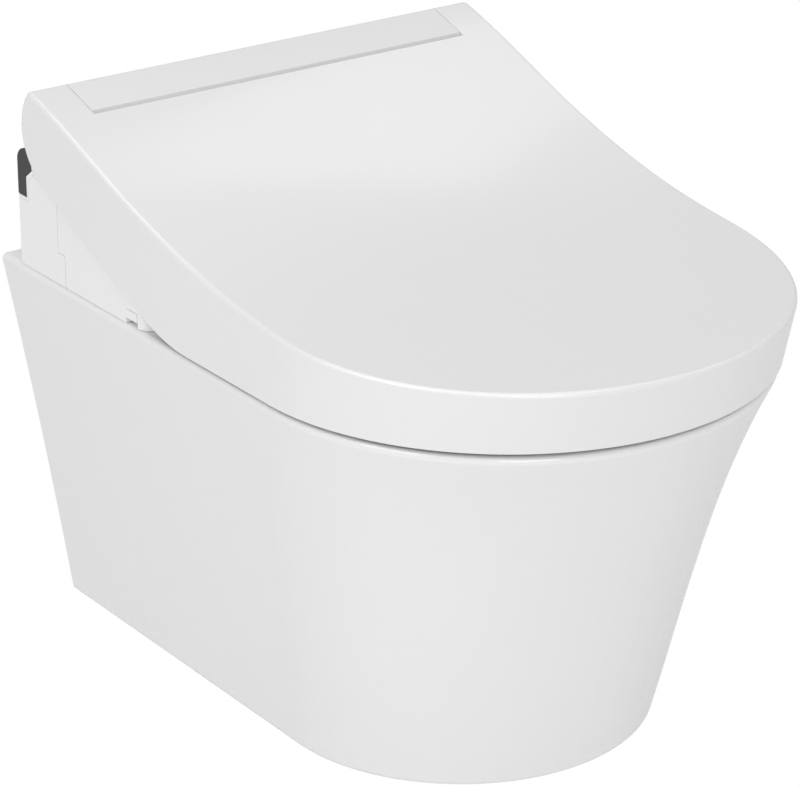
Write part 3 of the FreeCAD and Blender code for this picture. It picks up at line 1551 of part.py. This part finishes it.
def solenoid_valve():
    """Shut-off valve behind the inlet."""
    width, depth, height = valve_size
    z = rim_z + inlet_fitting_height
    x = inlet_fitting_offset
    back = inlet_root()
    middle = back - depth / 2
    body = box(x - width / 2, x + width / 2, back - depth, back, z - height / 2, z + height / 2)
    coil = rod((x, middle, z), (x, middle, z + height / 2 + coil_height), coil_radius)
    leg_x = valve_leg[0] / 2
    leg_y = valve_leg[1] / 2
    leg = box(x - leg_x, x + leg_x, middle - leg_y, middle + leg_y, unit_z + case_floor,
              z - height / 2 + past)
    bore = rod((x, middle, z), (x, back + past, z), inlet_bore_radius)
    return body.fuse([coil, leg]).cut(bore)


def control_board():
    """Circuit board with its larger components."""
    length, depth, thickness = board_size
    y = board_middle_y()
    z = board_z()
    x = board_offset
    seat_z = z + thickness / 2
    sheet = box(x - length / 2, x + length / 2, y - depth / 2, y + depth / 2, z, z + thickness)
    pieces = [rod((x + can_place, y, seat_z), (x + can_place, y, z + can_height), can_radius)]
    for along, across, block_length, width, height in board_blocks:
        x0 = x + along - block_length / 2
        y0 = y + across - width / 2
        pieces.append(box(x0, x0 + block_length, y0, y0 + width, seat_z, z + height))
    return sheet.fuse(pieces)


def cord_gland():
    """Rubber gland in the rear cover where the mains lead enters."""
    z = rim_z + inlet_fitting_height
    x = -gland_offset
    y = -unit_rear
    inside = y - plastic_wall
    ring = rod((x, y, z), (x, y + gland_head, z), gland_radius)
    neck = rod((x, inside, z), (x, y, z), gland_neck_radius)
    lip = rod((x, inside - gland_lip, z), (x, inside, z), gland_radius)
    bore = rod((x, inside - gland_lip - past, z), (x, y + gland_head + past, z), gland_bore_radius)
    return ring.fuse([neck, lip]).cut(bore)


def blower_housing():
    """Scroll of the dryer's blower."""
    x0 = blower_offset
    x1 = x0 + blower_width
    wall = blower_wall
    low = blower_z - blower_radius
    drum = rod_x(x0, x1, blower_y, blower_z, blower_radius)
    throat = box(x0, x1, throat_end, blower_y, low, throat_top)
    space = rod_x(x0 + wall, x1 - wall, blower_y, blower_z, blower_radius - wall)
    way = box(x0 + wall, x1 - wall, throat_end - past, blower_y, low + wall, throat_top - wall)
    eye = rod_x(x0 - past, x0 + wall + past, blower_y, blower_z, eye_radius)
    shaft = rod_x(x1 - wall - past, x1 + past, blower_y, blower_z, shaft_hole_radius)
    foot = box(x0, x1, blower_y - blower_foot_half, blower_y + blower_foot_half, channel_top + plastic_wall,
               low + wall)
    return drum.fuse([throat, foot]).cut([space, way, eye, shaft])


def blower_impeller():
    """Drum fan with curved-in blades on a back disc."""
    x0 = blower_offset + impeller_front_gap
    x1 = blower_offset + blower_width - impeller_rear_gap
    disc = rod_x(x1 - impeller_disc, x1, blower_y, blower_z, impeller_radius)
    hub = rod_x(x0 + impeller_hub_inset, x1, blower_y, blower_z, impeller_hub_radius)
    shaft = rod_x(x1 - past, x1 + blower_shaft_length, blower_y, blower_z, blower_shaft_radius)
    ring = tube_x(x0, x0 + impeller_disc, blower_y, blower_z, impeller_radius,
                  impeller_radius - impeller_ring_width)
    half = impeller_blade / 2
    edge = impeller_radius - blade_edge
    blades = []
    for i in range(impeller_blades):
        blade = box(x0, x1 - past, -half, half, impeller_radius - blade_root, edge)
        blade.rotate(Vector(0, 0, edge), Vector(1, 0, 0), blade_angle)
        blade.rotate(Vector(0, 0, 0), Vector(1, 0, 0), i * 360.0 / impeller_blades)
        blade.translate(Vector(0, blower_y, blower_z))
        blades.append(blade)
    return disc.fuse([hub, shaft, ring] + blades)


def blower_motor():
    """Motor on the outside of the scroll."""
    x0 = blower_offset + blower_width
    body = rod_x(x0, x0 + blower_motor_length, blower_y, blower_z, blower_motor_radius)
    return body.cut(rod_x(x0 - past, x0 + blower_motor_bore, blower_y, blower_z,
                          blower_shaft_radius + running_gap))


def dryer_duct():
    """Duct from the scroll to the slot in the unit's front."""
    x0 = blower_offset
    x1 = x0 + blower_width
    wall = blower_wall
    end = -unit_front + plastic_wall + fit_gap
    low0 = blower_z - blower_radius
    low1 = duct_low_z() - wall
    high1 = duct_low_z() + duct_mouth_height
    outer = polygon_x([(throat_end, low0), (throat_end, throat_top), (end, high1), (end, low1)], x0, x1)
    inner = polygon_x([(throat_end + past, low0 + wall), (throat_end + past, throat_top - wall),
                       (end - past, high1 - wall),
                       (end - past, low1 + wall)], x0 + wall, x1 - wall)
    return outer.cut(inner)


def release_button():
    """Button that frees the unit from its base plate, with the stem that guides it."""
    half = button_width / 2
    z0 = button_z() - button_height / 2
    outer_x = -unit_half - button_pride
    head = box(outer_x, outer_x + button_depth, -button_setback - half, -button_setback + half, z0,
               z0 + button_height)
    stem_half = stem_width / 2
    stem = box(outer_x + button_depth / 2, outer_x + stem_length, -button_setback - stem_half,
               -button_setback + stem_half, z0, z0 + stem_height)
    return head.fuse(stem)


parts = {}
parts["bowl"] = bowl()
parts["wall_fixing_sleeves"] = wall_fixing_sleeves()
parts["wall_fixing_screws"] = wall_fixing_screws()
parts["bolt_sleeves"] = bolt_sleeves()
parts["base_bolts"] = base_bolts()
parts["base_plate"] = base_plate()
parts["lid_shell"] = lid_shell()
parts["lid_strip"] = lid_strip()
parts["lid_pin"] = lid_pin()
parts["seat_pin"] = seat_pin()
parts["lid_bush"] = bush(lid_hub_inner, lid_inner_half)
parts["seat_bush"] = bush(-arm_outer, -arm_inner)
parts["bracket_bushes"] = pair(bush(bracket_inner, bracket_outer))
parts["lid_damper"] = damper(-1)
parts["seat_damper"] = damper(1)
parts["left_hinge_bracket"] = hinge_bracket(-1)
parts["right_hinge_bracket"] = hinge_bracket(1)
parts["lower_case"] = lower_case()
parts["upper_case"] = upper_case()
parts["case_screws"] = case_screws()
parts["bracket_screws"] = bracket_screws()
parts["left_side_cover"] = side_cover(-1)
parts["right_side_cover"] = side_cover(1)
parts["rear_cover"] = rear_cover()
parts["rear_panel"] = rear_panel()
parts["seat_top"] = seat_top()
parts["seat_base"] = seat_base()
parts["seat_heater"] = seat_heater()
parts["seat_bumpers"] = seat_bumpers()
parts["lid_bumpers"] = lid_bumpers(parts["lid_shell"])
parts["wand"] = wand()
parts["wand_tip"] = wand_tip()
parts["wand_pinion"] = wand_pinion()
parts["wand_motor"] = wand_motor()
parts["wand_guide"] = wand_guide()
parts["heater_tank"] = heater_tank()
parts["pump"] = pump()
parts["inlet_fitting"] = inlet_fitting()
parts["inlet_filter"] = inlet_filter()
parts["solenoid_valve"] = solenoid_valve()
parts["control_board"] = control_board()
parts["cord_gland"] = cord_gland()
parts["blower_housing"] = blower_housing()
parts["blower_impeller"] = blower_impeller()
parts["blower_motor"] = blower_motor()
parts["dryer_duct"] = dryer_duct()
parts["release_button"] = release_button()

os.makedirs("parts", exist_ok=True)
for node, shape in parts.items():
    shape.exportStep("parts/" + node + ".step")
    print(node, len(shape.Solids), shape.isValid(), round(shape.Volume / 1000, 2))
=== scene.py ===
"""Looks, stage and camera of the wall-hung bidet toilet, laid out as a Blender add-on."""

import math

import bmesh
import bpy
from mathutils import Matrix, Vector


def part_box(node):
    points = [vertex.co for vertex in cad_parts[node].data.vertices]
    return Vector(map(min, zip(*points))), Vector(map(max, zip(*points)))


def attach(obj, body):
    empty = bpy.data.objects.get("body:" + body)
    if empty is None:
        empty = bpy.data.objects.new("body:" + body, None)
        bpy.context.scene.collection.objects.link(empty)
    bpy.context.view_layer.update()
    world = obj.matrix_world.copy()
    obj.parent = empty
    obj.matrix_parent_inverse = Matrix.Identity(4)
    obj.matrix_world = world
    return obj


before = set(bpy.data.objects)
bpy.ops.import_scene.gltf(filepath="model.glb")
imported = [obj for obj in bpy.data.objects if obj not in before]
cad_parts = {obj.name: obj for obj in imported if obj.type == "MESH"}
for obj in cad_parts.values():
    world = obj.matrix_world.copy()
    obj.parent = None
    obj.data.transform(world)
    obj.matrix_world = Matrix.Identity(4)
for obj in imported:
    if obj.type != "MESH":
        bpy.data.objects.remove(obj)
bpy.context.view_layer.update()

bl_info = {
    "name": "Wall-hung bidet toilet",
    "version": (1, 0, 0),
    "blender": (4, 5, 0),
    "location": "View3D > Sidebar > Toilet",
    "description": "Finishes, small pieces, light and camera for the packed toilet",
    "category": "Object",
}

# Which finish each CAD node takes
GLAZED = ("bowl",)
GLOSS_WHITE = ("lid_shell", "seat_top", "seat_base")
SATIN_WHITE = ("lid_strip",)
CASE_WHITE = (
    "lower_case", "upper_case", "left_side_cover", "right_side_cover", "rear_cover", "release_button",
)
CHARCOAL = ("rear_panel",)
INNER_PLASTIC = (
    "base_plate", "lid_damper", "seat_damper", "left_hinge_bracket", "right_hinge_bracket", "wand",
    "wand_guide", "heater_tank", "pump", "solenoid_valve", "blower_housing", "blower_impeller", "dryer_duct",
)
NYLON = ("wall_fixing_sleeves", "lid_bush", "seat_bush", "bracket_bushes", "wand_pinion", "inlet_filter")
STEEL = (
    "wall_fixing_screws", "base_bolts", "lid_pin", "seat_pin", "case_screws", "bracket_screws", "wand_tip",
    "wand_motor", "blower_motor",
)
BRASS = ("inlet_fitting",)
GREY_RUBBER = ("seat_bumpers", "lid_bumpers")
DARK_RUBBER = ("bolt_sleeves", "cord_gland")
BOARD = ("control_board",)
FOIL = ("seat_heater",)


class ToiletFinish(bpy.types.PropertyGroup):
    """Surface values of the finishes that show."""

    glaze_roughness: bpy.props.FloatProperty(
        name="Glaze roughness", description="Roughness of the fired glaze",
        default=0.12, min=0.0, max=1.0, subtype="FACTOR")
    glaze_coat: bpy.props.FloatProperty(
        name="Glaze coat", description="Weight of the clear layer over the glaze",
        default=0.25, min=0.0, max=1.0, subtype="FACTOR")
    glaze_coat_roughness: bpy.props.FloatProperty(
        name="Glaze coat roughness", description="Roughness of the clear layer over the glaze",
        default=0.04, min=0.0, max=1.0, subtype="FACTOR")
    lid_roughness: bpy.props.FloatProperty(
        name="Lid roughness", description="Roughness of the polished lid and seat",
        default=0.26, min=0.0, max=1.0, subtype="FACTOR")
    lid_coat: bpy.props.FloatProperty(
        name="Lid coat", description="Weight of the polished skin on the lid and seat",
        default=0.6, min=0.0, max=1.0, subtype="FACTOR")
    lid_coat_roughness: bpy.props.FloatProperty(
        name="Lid coat roughness", description="Roughness of the polished skin on the lid and seat",
        default=0.12, min=0.0, max=1.0, subtype="FACTOR")
    strip_roughness: bpy.props.FloatProperty(
        name="Strip roughness", description="Roughness of the strip let into the lid",
        default=0.5, min=0.0, max=1.0, subtype="FACTOR")
    case_roughness: bpy.props.FloatProperty(
        name="Case roughness", description="Roughness of the unit's casing",
        default=0.34, min=0.0, max=1.0, subtype="FACTOR")
    panel_roughness: bpy.props.FloatProperty(
        name="Panel roughness", description="Roughness of the charcoal rear panel",
        default=0.55, min=0.0, max=1.0, subtype="FACTOR")


class ToiletThread(bpy.types.PropertyGroup):
    """Pipe thread on the water inlet."""

    radius: bpy.props.FloatProperty(
        name="Radius", description="Outside radius of the inlet", default=0.0104, unit="LENGTH")
    pitch: bpy.props.FloatProperty(
        name="Pitch", description="Rise of the thread in one turn", default=0.001814, unit="LENGTH")
    depth: bpy.props.FloatProperty(
        name="Depth", description="Height of the thread's ridge", default=0.0009, unit="LENGTH")
    sink: bpy.props.FloatProperty(
        name="Sink", description="How far the ridge's feet reach into the inlet",
        default=0.0002, unit="LENGTH")
    foot_share: bpy.props.FloatProperty(
        name="Foot share", description="Half the width of the ridge's foot as a share of the pitch",
        default=0.42, min=0.0, max=0.5, subtype="FACTOR")
    turns: bpy.props.IntProperty(name="Turns", description="Turns of thread that show", default=4, min=1)
    steps: bpy.props.IntProperty(name="Steps", description="Steps in one turn", default=48, min=3)
    setback: bpy.props.FloatProperty(
        name="Setback", description="Distance of the first turn from the inlet's open end",
        default=0.0085, unit="LENGTH")


class ToiletStudio(bpy.types.PropertyGroup):
    """Camera, light and floor."""

    camera_place: bpy.props.FloatVectorProperty(
        name="Camera place", description="Place of the camera",
        default=(-1.39125, -2.20127, 1.01401), subtype="TRANSLATION", unit="LENGTH")
    camera_azimuth: bpy.props.FloatProperty(
        name="Camera azimuth", description="Turn of the camera round the object",
        default=math.radians(-35.24), subtype="ANGLE", unit="ROTATION")
    camera_elevation: bpy.props.FloatProperty(
        name="Camera elevation", description="Angle of the camera over the horizon",
        default=math.radians(22.8), subtype="ANGLE", unit="ROTATION")
    lens: bpy.props.FloatProperty(
        name="Lens", description="Focal length in millimetres", default=166.57, unit="CAMERA")
    sensor: bpy.props.FloatProperty(
        name="Sensor", description="Width of the sensor in millimetres", default=36.0, unit="CAMERA")
    floor_drop: bpy.props.FloatProperty(
        name="Floor drop", description="Height of the wall studs over the floor", default=0.32, unit="LENGTH")
    floor_reach: bpy.props.FloatProperty(
        name="Floor reach", description="Half the floor's width", default=6.0, unit="LENGTH")
    sky_strength: bpy.props.FloatProperty(
        name="Room light", description="Strength of the light from all round", default=0.64, min=0.0)
    key_place: bpy.props.FloatVectorProperty(
        name="Key place", description="Place of the light in front, on the left",
        default=(-1.12, -2.67, 1.31), subtype="TRANSLATION", unit="LENGTH")
    key_size: bpy.props.FloatProperty(
        name="Key size", description="Side of the light in front", default=1.2, unit="LENGTH")
    key_power: bpy.props.FloatProperty(
        name="Key power", description="Power of the light in front", default=17.0, unit="POWER")
    left_place: bpy.props.FloatVectorProperty(
        name="Left place", description="Place of the light on the left",
        default=(-1.67, -0.49, 1.46), subtype="TRANSLATION", unit="LENGTH")
    left_size: bpy.props.FloatProperty(
        name="Left size", description="Side of the light on the left", default=0.9, unit="LENGTH")
    left_power: bpy.props.FloatProperty(
        name="Left power", description="Power of the light on the left", default=8.0, unit="POWER")
    rear_place: bpy.props.FloatVectorProperty(
        name="Rear place", description="Place of the light overhead, behind on the right",
        default=(1.25, 0.3, 2.1), subtype="TRANSLATION", unit="LENGTH")
    rear_size: bpy.props.FloatProperty(
        name="Rear size", description="Side of the light overhead", default=1.2, unit="LENGTH")
    rear_power: bpy.props.FloatProperty(
        name="Rear power", description="Power of the light overhead", default=4.2, unit="POWER")
    edge_place: bpy.props.FloatVectorProperty(
        name="Edge place", description="Place of the panel that the lid's upper edge mirrors",
        default=(-0.8, -0.5, 2.05), subtype="TRANSLATION", unit="LENGTH")
    edge_size: bpy.props.FloatProperty(
        name="Edge size", description="Side of the mirrored panel", default=2.9, unit="LENGTH")
    edge_power: bpy.props.FloatProperty(
        name="Edge power", description="Power of the mirrored panel", default=38.0, unit="POWER")
    aim: bpy.props.FloatVectorProperty(
        name="Aim", description="Point that the lights face",
        default=(0.0, -0.27, 0.05), subtype="TRANSLATION", unit="LENGTH")


def srgb(code):
    """Linear colour of a six-digit sRGB code."""
    values = []
    for i in (0, 2, 4):
        v = int(code[i:i + 2], 16) / 255
        values.append(v / 12.92 if v <= 0.04045 else ((v + 0.055) / 1.055) ** 2.4)
    return (*values, 1.0)


def add_node(tree, kind, place, **values):
    """New shader node with its sockets set by name."""
    node = tree.nodes.new(kind)
    node.location = place
    for name, value in values.items():
        node.inputs[name.replace("_", " ")].default_value = value
    return node


def empty_tree(owner, output_kind):
    """Node tree of a material or a world, empty but for its output."""
    owner.use_nodes = True
    tree = owner.node_tree
    tree.nodes.clear()
    return tree, add_node(tree, output_kind, (600, 0))


def split_camera(tree, output, lit, plain):
    """Shows the camera the plain socket, and everything else the lit one."""
    rays = add_node(tree, "ShaderNodeLightPath", (-200, 300))
    mix = add_node(tree, "ShaderNodeMixShader", (300, 0))
    tree.links.new(rays.outputs["Is Camera Ray"], mix.inputs["Fac"])
    tree.links.new(lit, mix.inputs[1])
    tree.links.new(plain, mix.inputs[2])
    tree.links.new(mix.outputs["Shader"], output.inputs["Surface"])


def add_tone(tree, shader, first, second, size):
    """Slow drift between two close colours; size is the drift's length in metres."""
    coords = add_node(tree, "ShaderNodeTexCoord", (-900, 200))
    noise = add_node(tree, "ShaderNodeTexNoise", (-650, 200), Scale=1 / size, Detail=3.0)
    mix = add_node(tree, "ShaderNodeMixRGB", (-150, 200), Color1=srgb(first), Color2=srgb(second))
    tree.links.new(coords.outputs["Object"], noise.inputs["Vector"])
    tree.links.new(noise.outputs["Fac"], mix.inputs["Fac"])
    tree.links.new(mix.outputs["Color"], shader.inputs["Base Color"])
    return coords


def add_grain(tree, shader, coords, size, height):
    """Fine relief; size is the grain's length and height its depth, in metres."""
    noise = add_node(tree, "ShaderNodeTexNoise", (-650, -250), Scale=1 / size, Detail=2.0)
    bump = add_node(tree, "ShaderNodeBump", (-150, -250), Strength=1.0, Distance=height)
    tree.links.new(coords.outputs["Object"], noise.inputs["Vector"])
    tree.links.new(noise.outputs["Fac"], bump.inputs["Height"])
    tree.links.new(bump.outputs["Normal"], shader.inputs["Normal"])


def make_material(name, tones, roughness, tone_size, grain_size, grain_height, ior=1.5, metallic=0.0):
    """Material with a slow tone drift and a fine relief."""
    material = bpy.data.materials.new(name)
    tree, output = empty_tree(material, "ShaderNodeOutputMaterial")
    shader = add_node(tree, "ShaderNodeBsdfPrincipled", (300, 0), Roughness=roughness, IOR=ior,
                      Metallic=metallic)
    tree.links.new(shader.outputs["BSDF"], output.inputs["Surface"])
    coords = add_tone(tree, shader, *tones, tone_size)
    add_grain(tree, shader, coords, grain_size, grain_height)
    return material, shader


def set_coat(shader, weight, roughness):
    """Clear layer over a finish."""
    shader.inputs["Coat Weight"].default_value = weight
    shader.inputs["Coat Roughness"].default_value = roughness


def put_on(material, nodes):
    """Gives CAD nodes one material."""
    for name in nodes:
        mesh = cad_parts[name].data
        mesh.materials.clear()
        mesh.materials.append(material)


def add_mesh(scene, name, bm, material):
    """New object with the built mesh and one material."""
    mesh = bpy.data.meshes.new(name)
    bm.to_mesh(mesh)
    bm.free()
    mesh.materials.append(material)
    piece = bpy.data.objects.new(name, mesh)
    scene.collection.objects.link(piece)
    return piece


class TOILET_OT_glaze(bpy.types.Operator):
    """Glazes the ceramic pan"""

    bl_idname = "toilet.glaze"
    bl_label = "Glaze the pan"

    def execute(self, context):
        finish = context.scene.toilet_finish
        # Vitreous china under a clear fired glaze, with a faint orange-peel ripple
        glaze, shader = make_material(
            "vitreous china, fired glaze", ("EEEEEE", "F0F0F0"), finish.glaze_roughness,
            tone_size=0.12, grain_size=0.009, grain_height=0.00001, ior=1.52)
        set_coat(shader, finish.glaze_coat, finish.glaze_coat_roughness)
        put_on(glaze, GLAZED)
        return {"FINISHED"}


class TOILET_OT_mould(bpy.types.Operator):
    """Finishes the white mouldings of the lid, the seat and the unit"""

    bl_idname = "toilet.mould"
    bl_label = "Finish the white mouldings"

    def execute(self, context):
        finish = context.scene.toilet_finish
        # Urea resin, compression-moulded and polished
        lid, shader = make_material(
            "urea resin, moulded and polished", ("ECECEC", "EEEEEE"), finish.lid_roughness,
            tone_size=0.16, grain_size=0.0016, grain_height=0.000004, ior=1.54)
        set_coat(shader, finish.lid_coat, finish.lid_coat_roughness)
        put_on(lid, GLOSS_WHITE)
        # The strip is moulded by itself and left a little more matte
        strip, _ = make_material(
            "urea resin, moulded satin", ("E8E8E8", "EAEAEA"), finish.strip_roughness,
            tone_size=0.16, grain_size=0.0012, grain_height=0.000005, ior=1.54)
        put_on(strip, SATIN_WHITE)
        # ABS, injection-moulded with a light gloss
        case, _ = make_material(
            "ABS, injection-moulded", ("F3F3F3", "F5F5F5"), finish.case_roughness,
            tone_size=0.06, grain_size=0.0009, grain_height=0.000005, ior=1.53)
        put_on(case, CASE_WHITE)
        return {"FINISHED"}


class TOILET_OT_panel(bpy.types.Operator):
    """Finishes the charcoal rear panel"""

    bl_idname = "toilet.panel"
    bl_label = "Finish the rear panel"

    def execute(self, context):
        finish = context.scene.toilet_finish
        # ABS coloured in the mass, with a fine eroded texture
        panel, _ = make_material(
            "ABS, charcoal, spark-eroded texture", ("323233", "39393A"), finish.panel_roughness,
            tone_size=0.02, grain_size=0.0006, grain_height=0.00003, ior=1.53)
        put_on(panel, CHARCOAL)
        return {"FINISHED"}


class TOILET_OT_inner(bpy.types.Operator):
    """Finishes the fixings and the pieces inside the unit"""

    bl_idname = "toilet.inner"
    bl_label = "Finish the inner pieces"

    def execute(self, context):
        # Polypropylene, moulded and left natural
        plastic, _ = make_material(
            "polypropylene, moulded", ("DADAD8", "D2D2CF"), roughness=0.45,
            tone_size=0.03, grain_size=0.0008, grain_height=0.00001, ior=1.49)
        put_on(plastic, INNER_PLASTIC)
        # Nylon, moulded, slightly yellow
        nylon, _ = make_material(
            "nylon, moulded", ("D9D2BE", "D1C9B2"), roughness=0.4,
            tone_size=0.02, grain_size=0.0008, grain_height=0.00001, ior=1.53)
        put_on(nylon, NYLON)
        # Stainless steel, turned
        steel, _ = make_material(
            "stainless steel, turned", ("B9B9BA", "A9A9AB"), roughness=0.28,
            tone_size=0.004, grain_size=0.0003, grain_height=0.000006, ior=2.5, metallic=1.0)
        put_on(steel, STEEL)
        # Brass, machined
        brass, _ = make_material(
            "brass, machined", ("C9A45C", "BD9850"), roughness=0.24,
            tone_size=0.01, grain_size=0.0004, grain_height=0.000006, metallic=1.0)
        put_on(brass, BRASS)
        # Elastomer bumpers, moulded soft
        bumper, _ = make_material(
            "thermoplastic elastomer, grey", ("B9BBBC", "B0B2B3"), roughness=0.6,
            tone_size=0.01, grain_size=0.0007, grain_height=0.00003)
        put_on(bumper, GREY_RUBBER)
        # Rubber, moulded black
        rubber, _ = make_material(
            "nitrile rubber, moulded", ("222222", "2B2B2B"), roughness=0.65,
            tone_size=0.008, grain_size=0.0006, grain_height=0.00003)
        put_on(rubber, DARK_RUBBER)
        # Glass-fibre laminate under a green solder mask
        board, _ = make_material(
            "glass-fibre board, solder mask", ("1D5A38", "256641"), roughness=0.35,
            tone_size=0.006, grain_size=0.001, grain_height=0.00001)
        put_on(board, BOARD)
        # Aluminium foil, rolled
        foil, _ = make_material(
            "aluminium foil, rolled", ("D5D6D8", "C9CACC"), roughness=0.3,
            tone_size=0.01, grain_size=0.002, grain_height=0.00002, ior=1.4, metallic=1.0)
        put_on(foil, FOIL)
        return {"FINISHED"}


class TOILET_OT_thread(bpy.types.Operator):
    """Adds the pipe thread of the water inlet"""

    bl_idname = "toilet.thread"
    bl_label = "Add the inlet thread"

    def execute(self, context):
        thread = context.scene.toilet_thread
        low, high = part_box("inlet_fitting")
        start = (low + high) / 2
        start.y = high.y - thread.setback
        # One ridge in section, spun along the inlet's axis
        bm = bmesh.new()
        half = thread.pitch * thread.foot_share
        ridge = [(-half, -thread.sink), (0.0, thread.depth), (half, -thread.sink)]
        ring = [bm.verts.new(start + Vector((thread.radius + rise, along, 0))) for along, rise in ridge]
        edges = [bm.edges.new(pair) for pair in zip(ring, ring[1:])]
        bmesh.ops.spin(bm, geom=ring + edges, cent=start, axis=(0, 1, 0),
                       dvec=(0, thread.pitch / thread.steps, 0), angle=2 * math.pi * thread.turns,
                       steps=thread.steps * thread.turns, use_duplicate=False)
        bmesh.ops.recalc_face_normals(bm, faces=bm.faces)
        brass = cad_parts["inlet_fitting"].data.materials[0]
        piece = add_mesh(context.scene, "inlet_thread", bm, brass)
        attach(piece, "unit")
        return {"FINISHED"}


def add_floor(scene, studio):
    """Pale floor that the camera sees as plain white."""
    bm = bmesh.new()
    bmesh.ops.create_grid(bm, x_segments=1, y_segments=1, size=studio.floor_reach)
    bmesh.ops.translate(bm, verts=bm.verts, vec=(0, 0, -studio.floor_drop))
    material = bpy.data.materials.new("paper, matte white")
    tree, output = empty_tree(material, "ShaderNodeOutputMaterial")
    paper = add_node(tree, "ShaderNodeBsdfDiffuse", (0, -100), Color=srgb("F5F5F5"))
    plain = add_node(tree, "ShaderNodeEmission", (0, 100), Color=srgb("FFFFFF"))
    split_camera(tree, output, paper.outputs["BSDF"], plain.outputs["Emission"])
    floor = add_mesh(scene, "studio_floor", bm, material)


def add_room(scene, studio):
    """Even room light, white to the camera."""
    world = bpy.data.worlds.new("studio room")
    scene.world = world
    tree, output = empty_tree(world, "ShaderNodeOutputWorld")
    white = srgb("FFFFFF")
    light = add_node(tree, "ShaderNodeBackground", (0, -100), Color=white, Strength=studio.sky_strength)
    plain = add_node(tree, "ShaderNodeBackground", (0, 100), Color=white, Strength=1.0)
    split_camera(tree, output, light.outputs["Background"], plain.outputs["Background"])


def add_light(scene, name, place, aim, size, power):
    """Square soft light that faces a point."""
    data = bpy.data.lights.new(name, "AREA")
    data.size = size
    data.energy = power
    light = bpy.data.objects.new(name, data)
    light.location = place
    light.rotation_euler = (Vector(aim) - Vector(place)).to_track_quat("-Z", "Y").to_euler()
    scene.collection.objects.link(light)
    return light


def add_camera(scene, studio):
    """Camera at the photo's place."""
    data = bpy.data.cameras.new("photo_camera")
    data.lens = studio.lens
    data.sensor_width = studio.sensor
    camera = bpy.data.objects.new("photo_camera", data)
    camera.location = studio.camera_place
    camera.rotation_euler = (math.pi / 2 - studio.camera_elevation, 0.0, studio.camera_azimuth)
    scene.collection.objects.link(camera)
    scene.camera = camera


class TOILET_OT_stage(bpy.types.Operator):
    """Sets up the floor, the light and the camera"""

    bl_idname = "toilet.stage"
    bl_label = "Set the stage"

    def execute(self, context):
        scene = context.scene
        studio = scene.toilet_studio
        aim = studio.aim
        scene.view_settings.view_transform = "Standard"
        add_floor(scene, studio)
        add_room(scene, studio)
        add_light(scene, "key_softbox", studio.key_place, aim, studio.key_size, studio.key_power)
        add_light(scene, "left_softbox", studio.left_place, aim, studio.left_size, studio.left_power)
        add_light(scene, "rear_softbox", studio.rear_place, aim, studio.rear_size, studio.rear_power)
        # Seen in mirror-like edges only, it lays the bright line along the lid's upper edge
        edge = add_light(scene, "edge_softbox", studio.edge_place, aim, studio.edge_size, studio.edge_power)
        edge.visible_diffuse = False
        add_camera(scene, studio)
        return {"FINISHED"}


class TOILET_PT_panel(bpy.types.Panel):
    """Sidebar panel with every step"""

    bl_idname = "TOILET_PT_panel"
    bl_label = "Toilet"
    bl_space_type = "VIEW_3D"
    bl_region_type = "UI"
    bl_category = "Toilet"

    def draw(self, context):
        layout = self.layout
        for operator in OPERATORS:
            layout.operator(operator.bl_idname)
        scene = context.scene
        for group in (scene.toilet_finish, scene.toilet_thread, scene.toilet_studio):
            column = layout.column()
            for name in group.__annotations__:
                column.prop(group, name)


GROUPS = (ToiletFinish, ToiletThread, ToiletStudio)
OPERATORS = (
    TOILET_OT_glaze, TOILET_OT_mould, TOILET_OT_panel, TOILET_OT_inner, TOILET_OT_thread, TOILET_OT_stage,
)


def register():
    """Registers the classes and their settings."""
    for cls in GROUPS + OPERATORS + (TOILET_PT_panel,):
        bpy.utils.register_class(cls)
    bpy.types.Scene.toilet_finish = bpy.props.PointerProperty(type=ToiletFinish)
    bpy.types.Scene.toilet_thread = bpy.props.PointerProperty(type=ToiletThread)
    bpy.types.Scene.toilet_studio = bpy.props.PointerProperty(type=ToiletStudio)


def unregister():
    """Takes the classes and their settings away again."""
    del bpy.types.Scene.toilet_studio
    del bpy.types.Scene.toilet_thread
    del bpy.types.Scene.toilet_finish
    for cls in reversed(GROUPS + OPERATORS + (TOILET_PT_panel,)):
        bpy.utils.unregister_class(cls)


def main():
    """Runs every step."""
    register()
    bpy.ops.toilet.glaze()
    bpy.ops.toilet.mould()
    bpy.ops.toilet.panel()
    bpy.ops.toilet.inner()
    bpy.ops.toilet.thread()
    bpy.ops.toilet.stage()


if __name__ == "__main__":
    main()
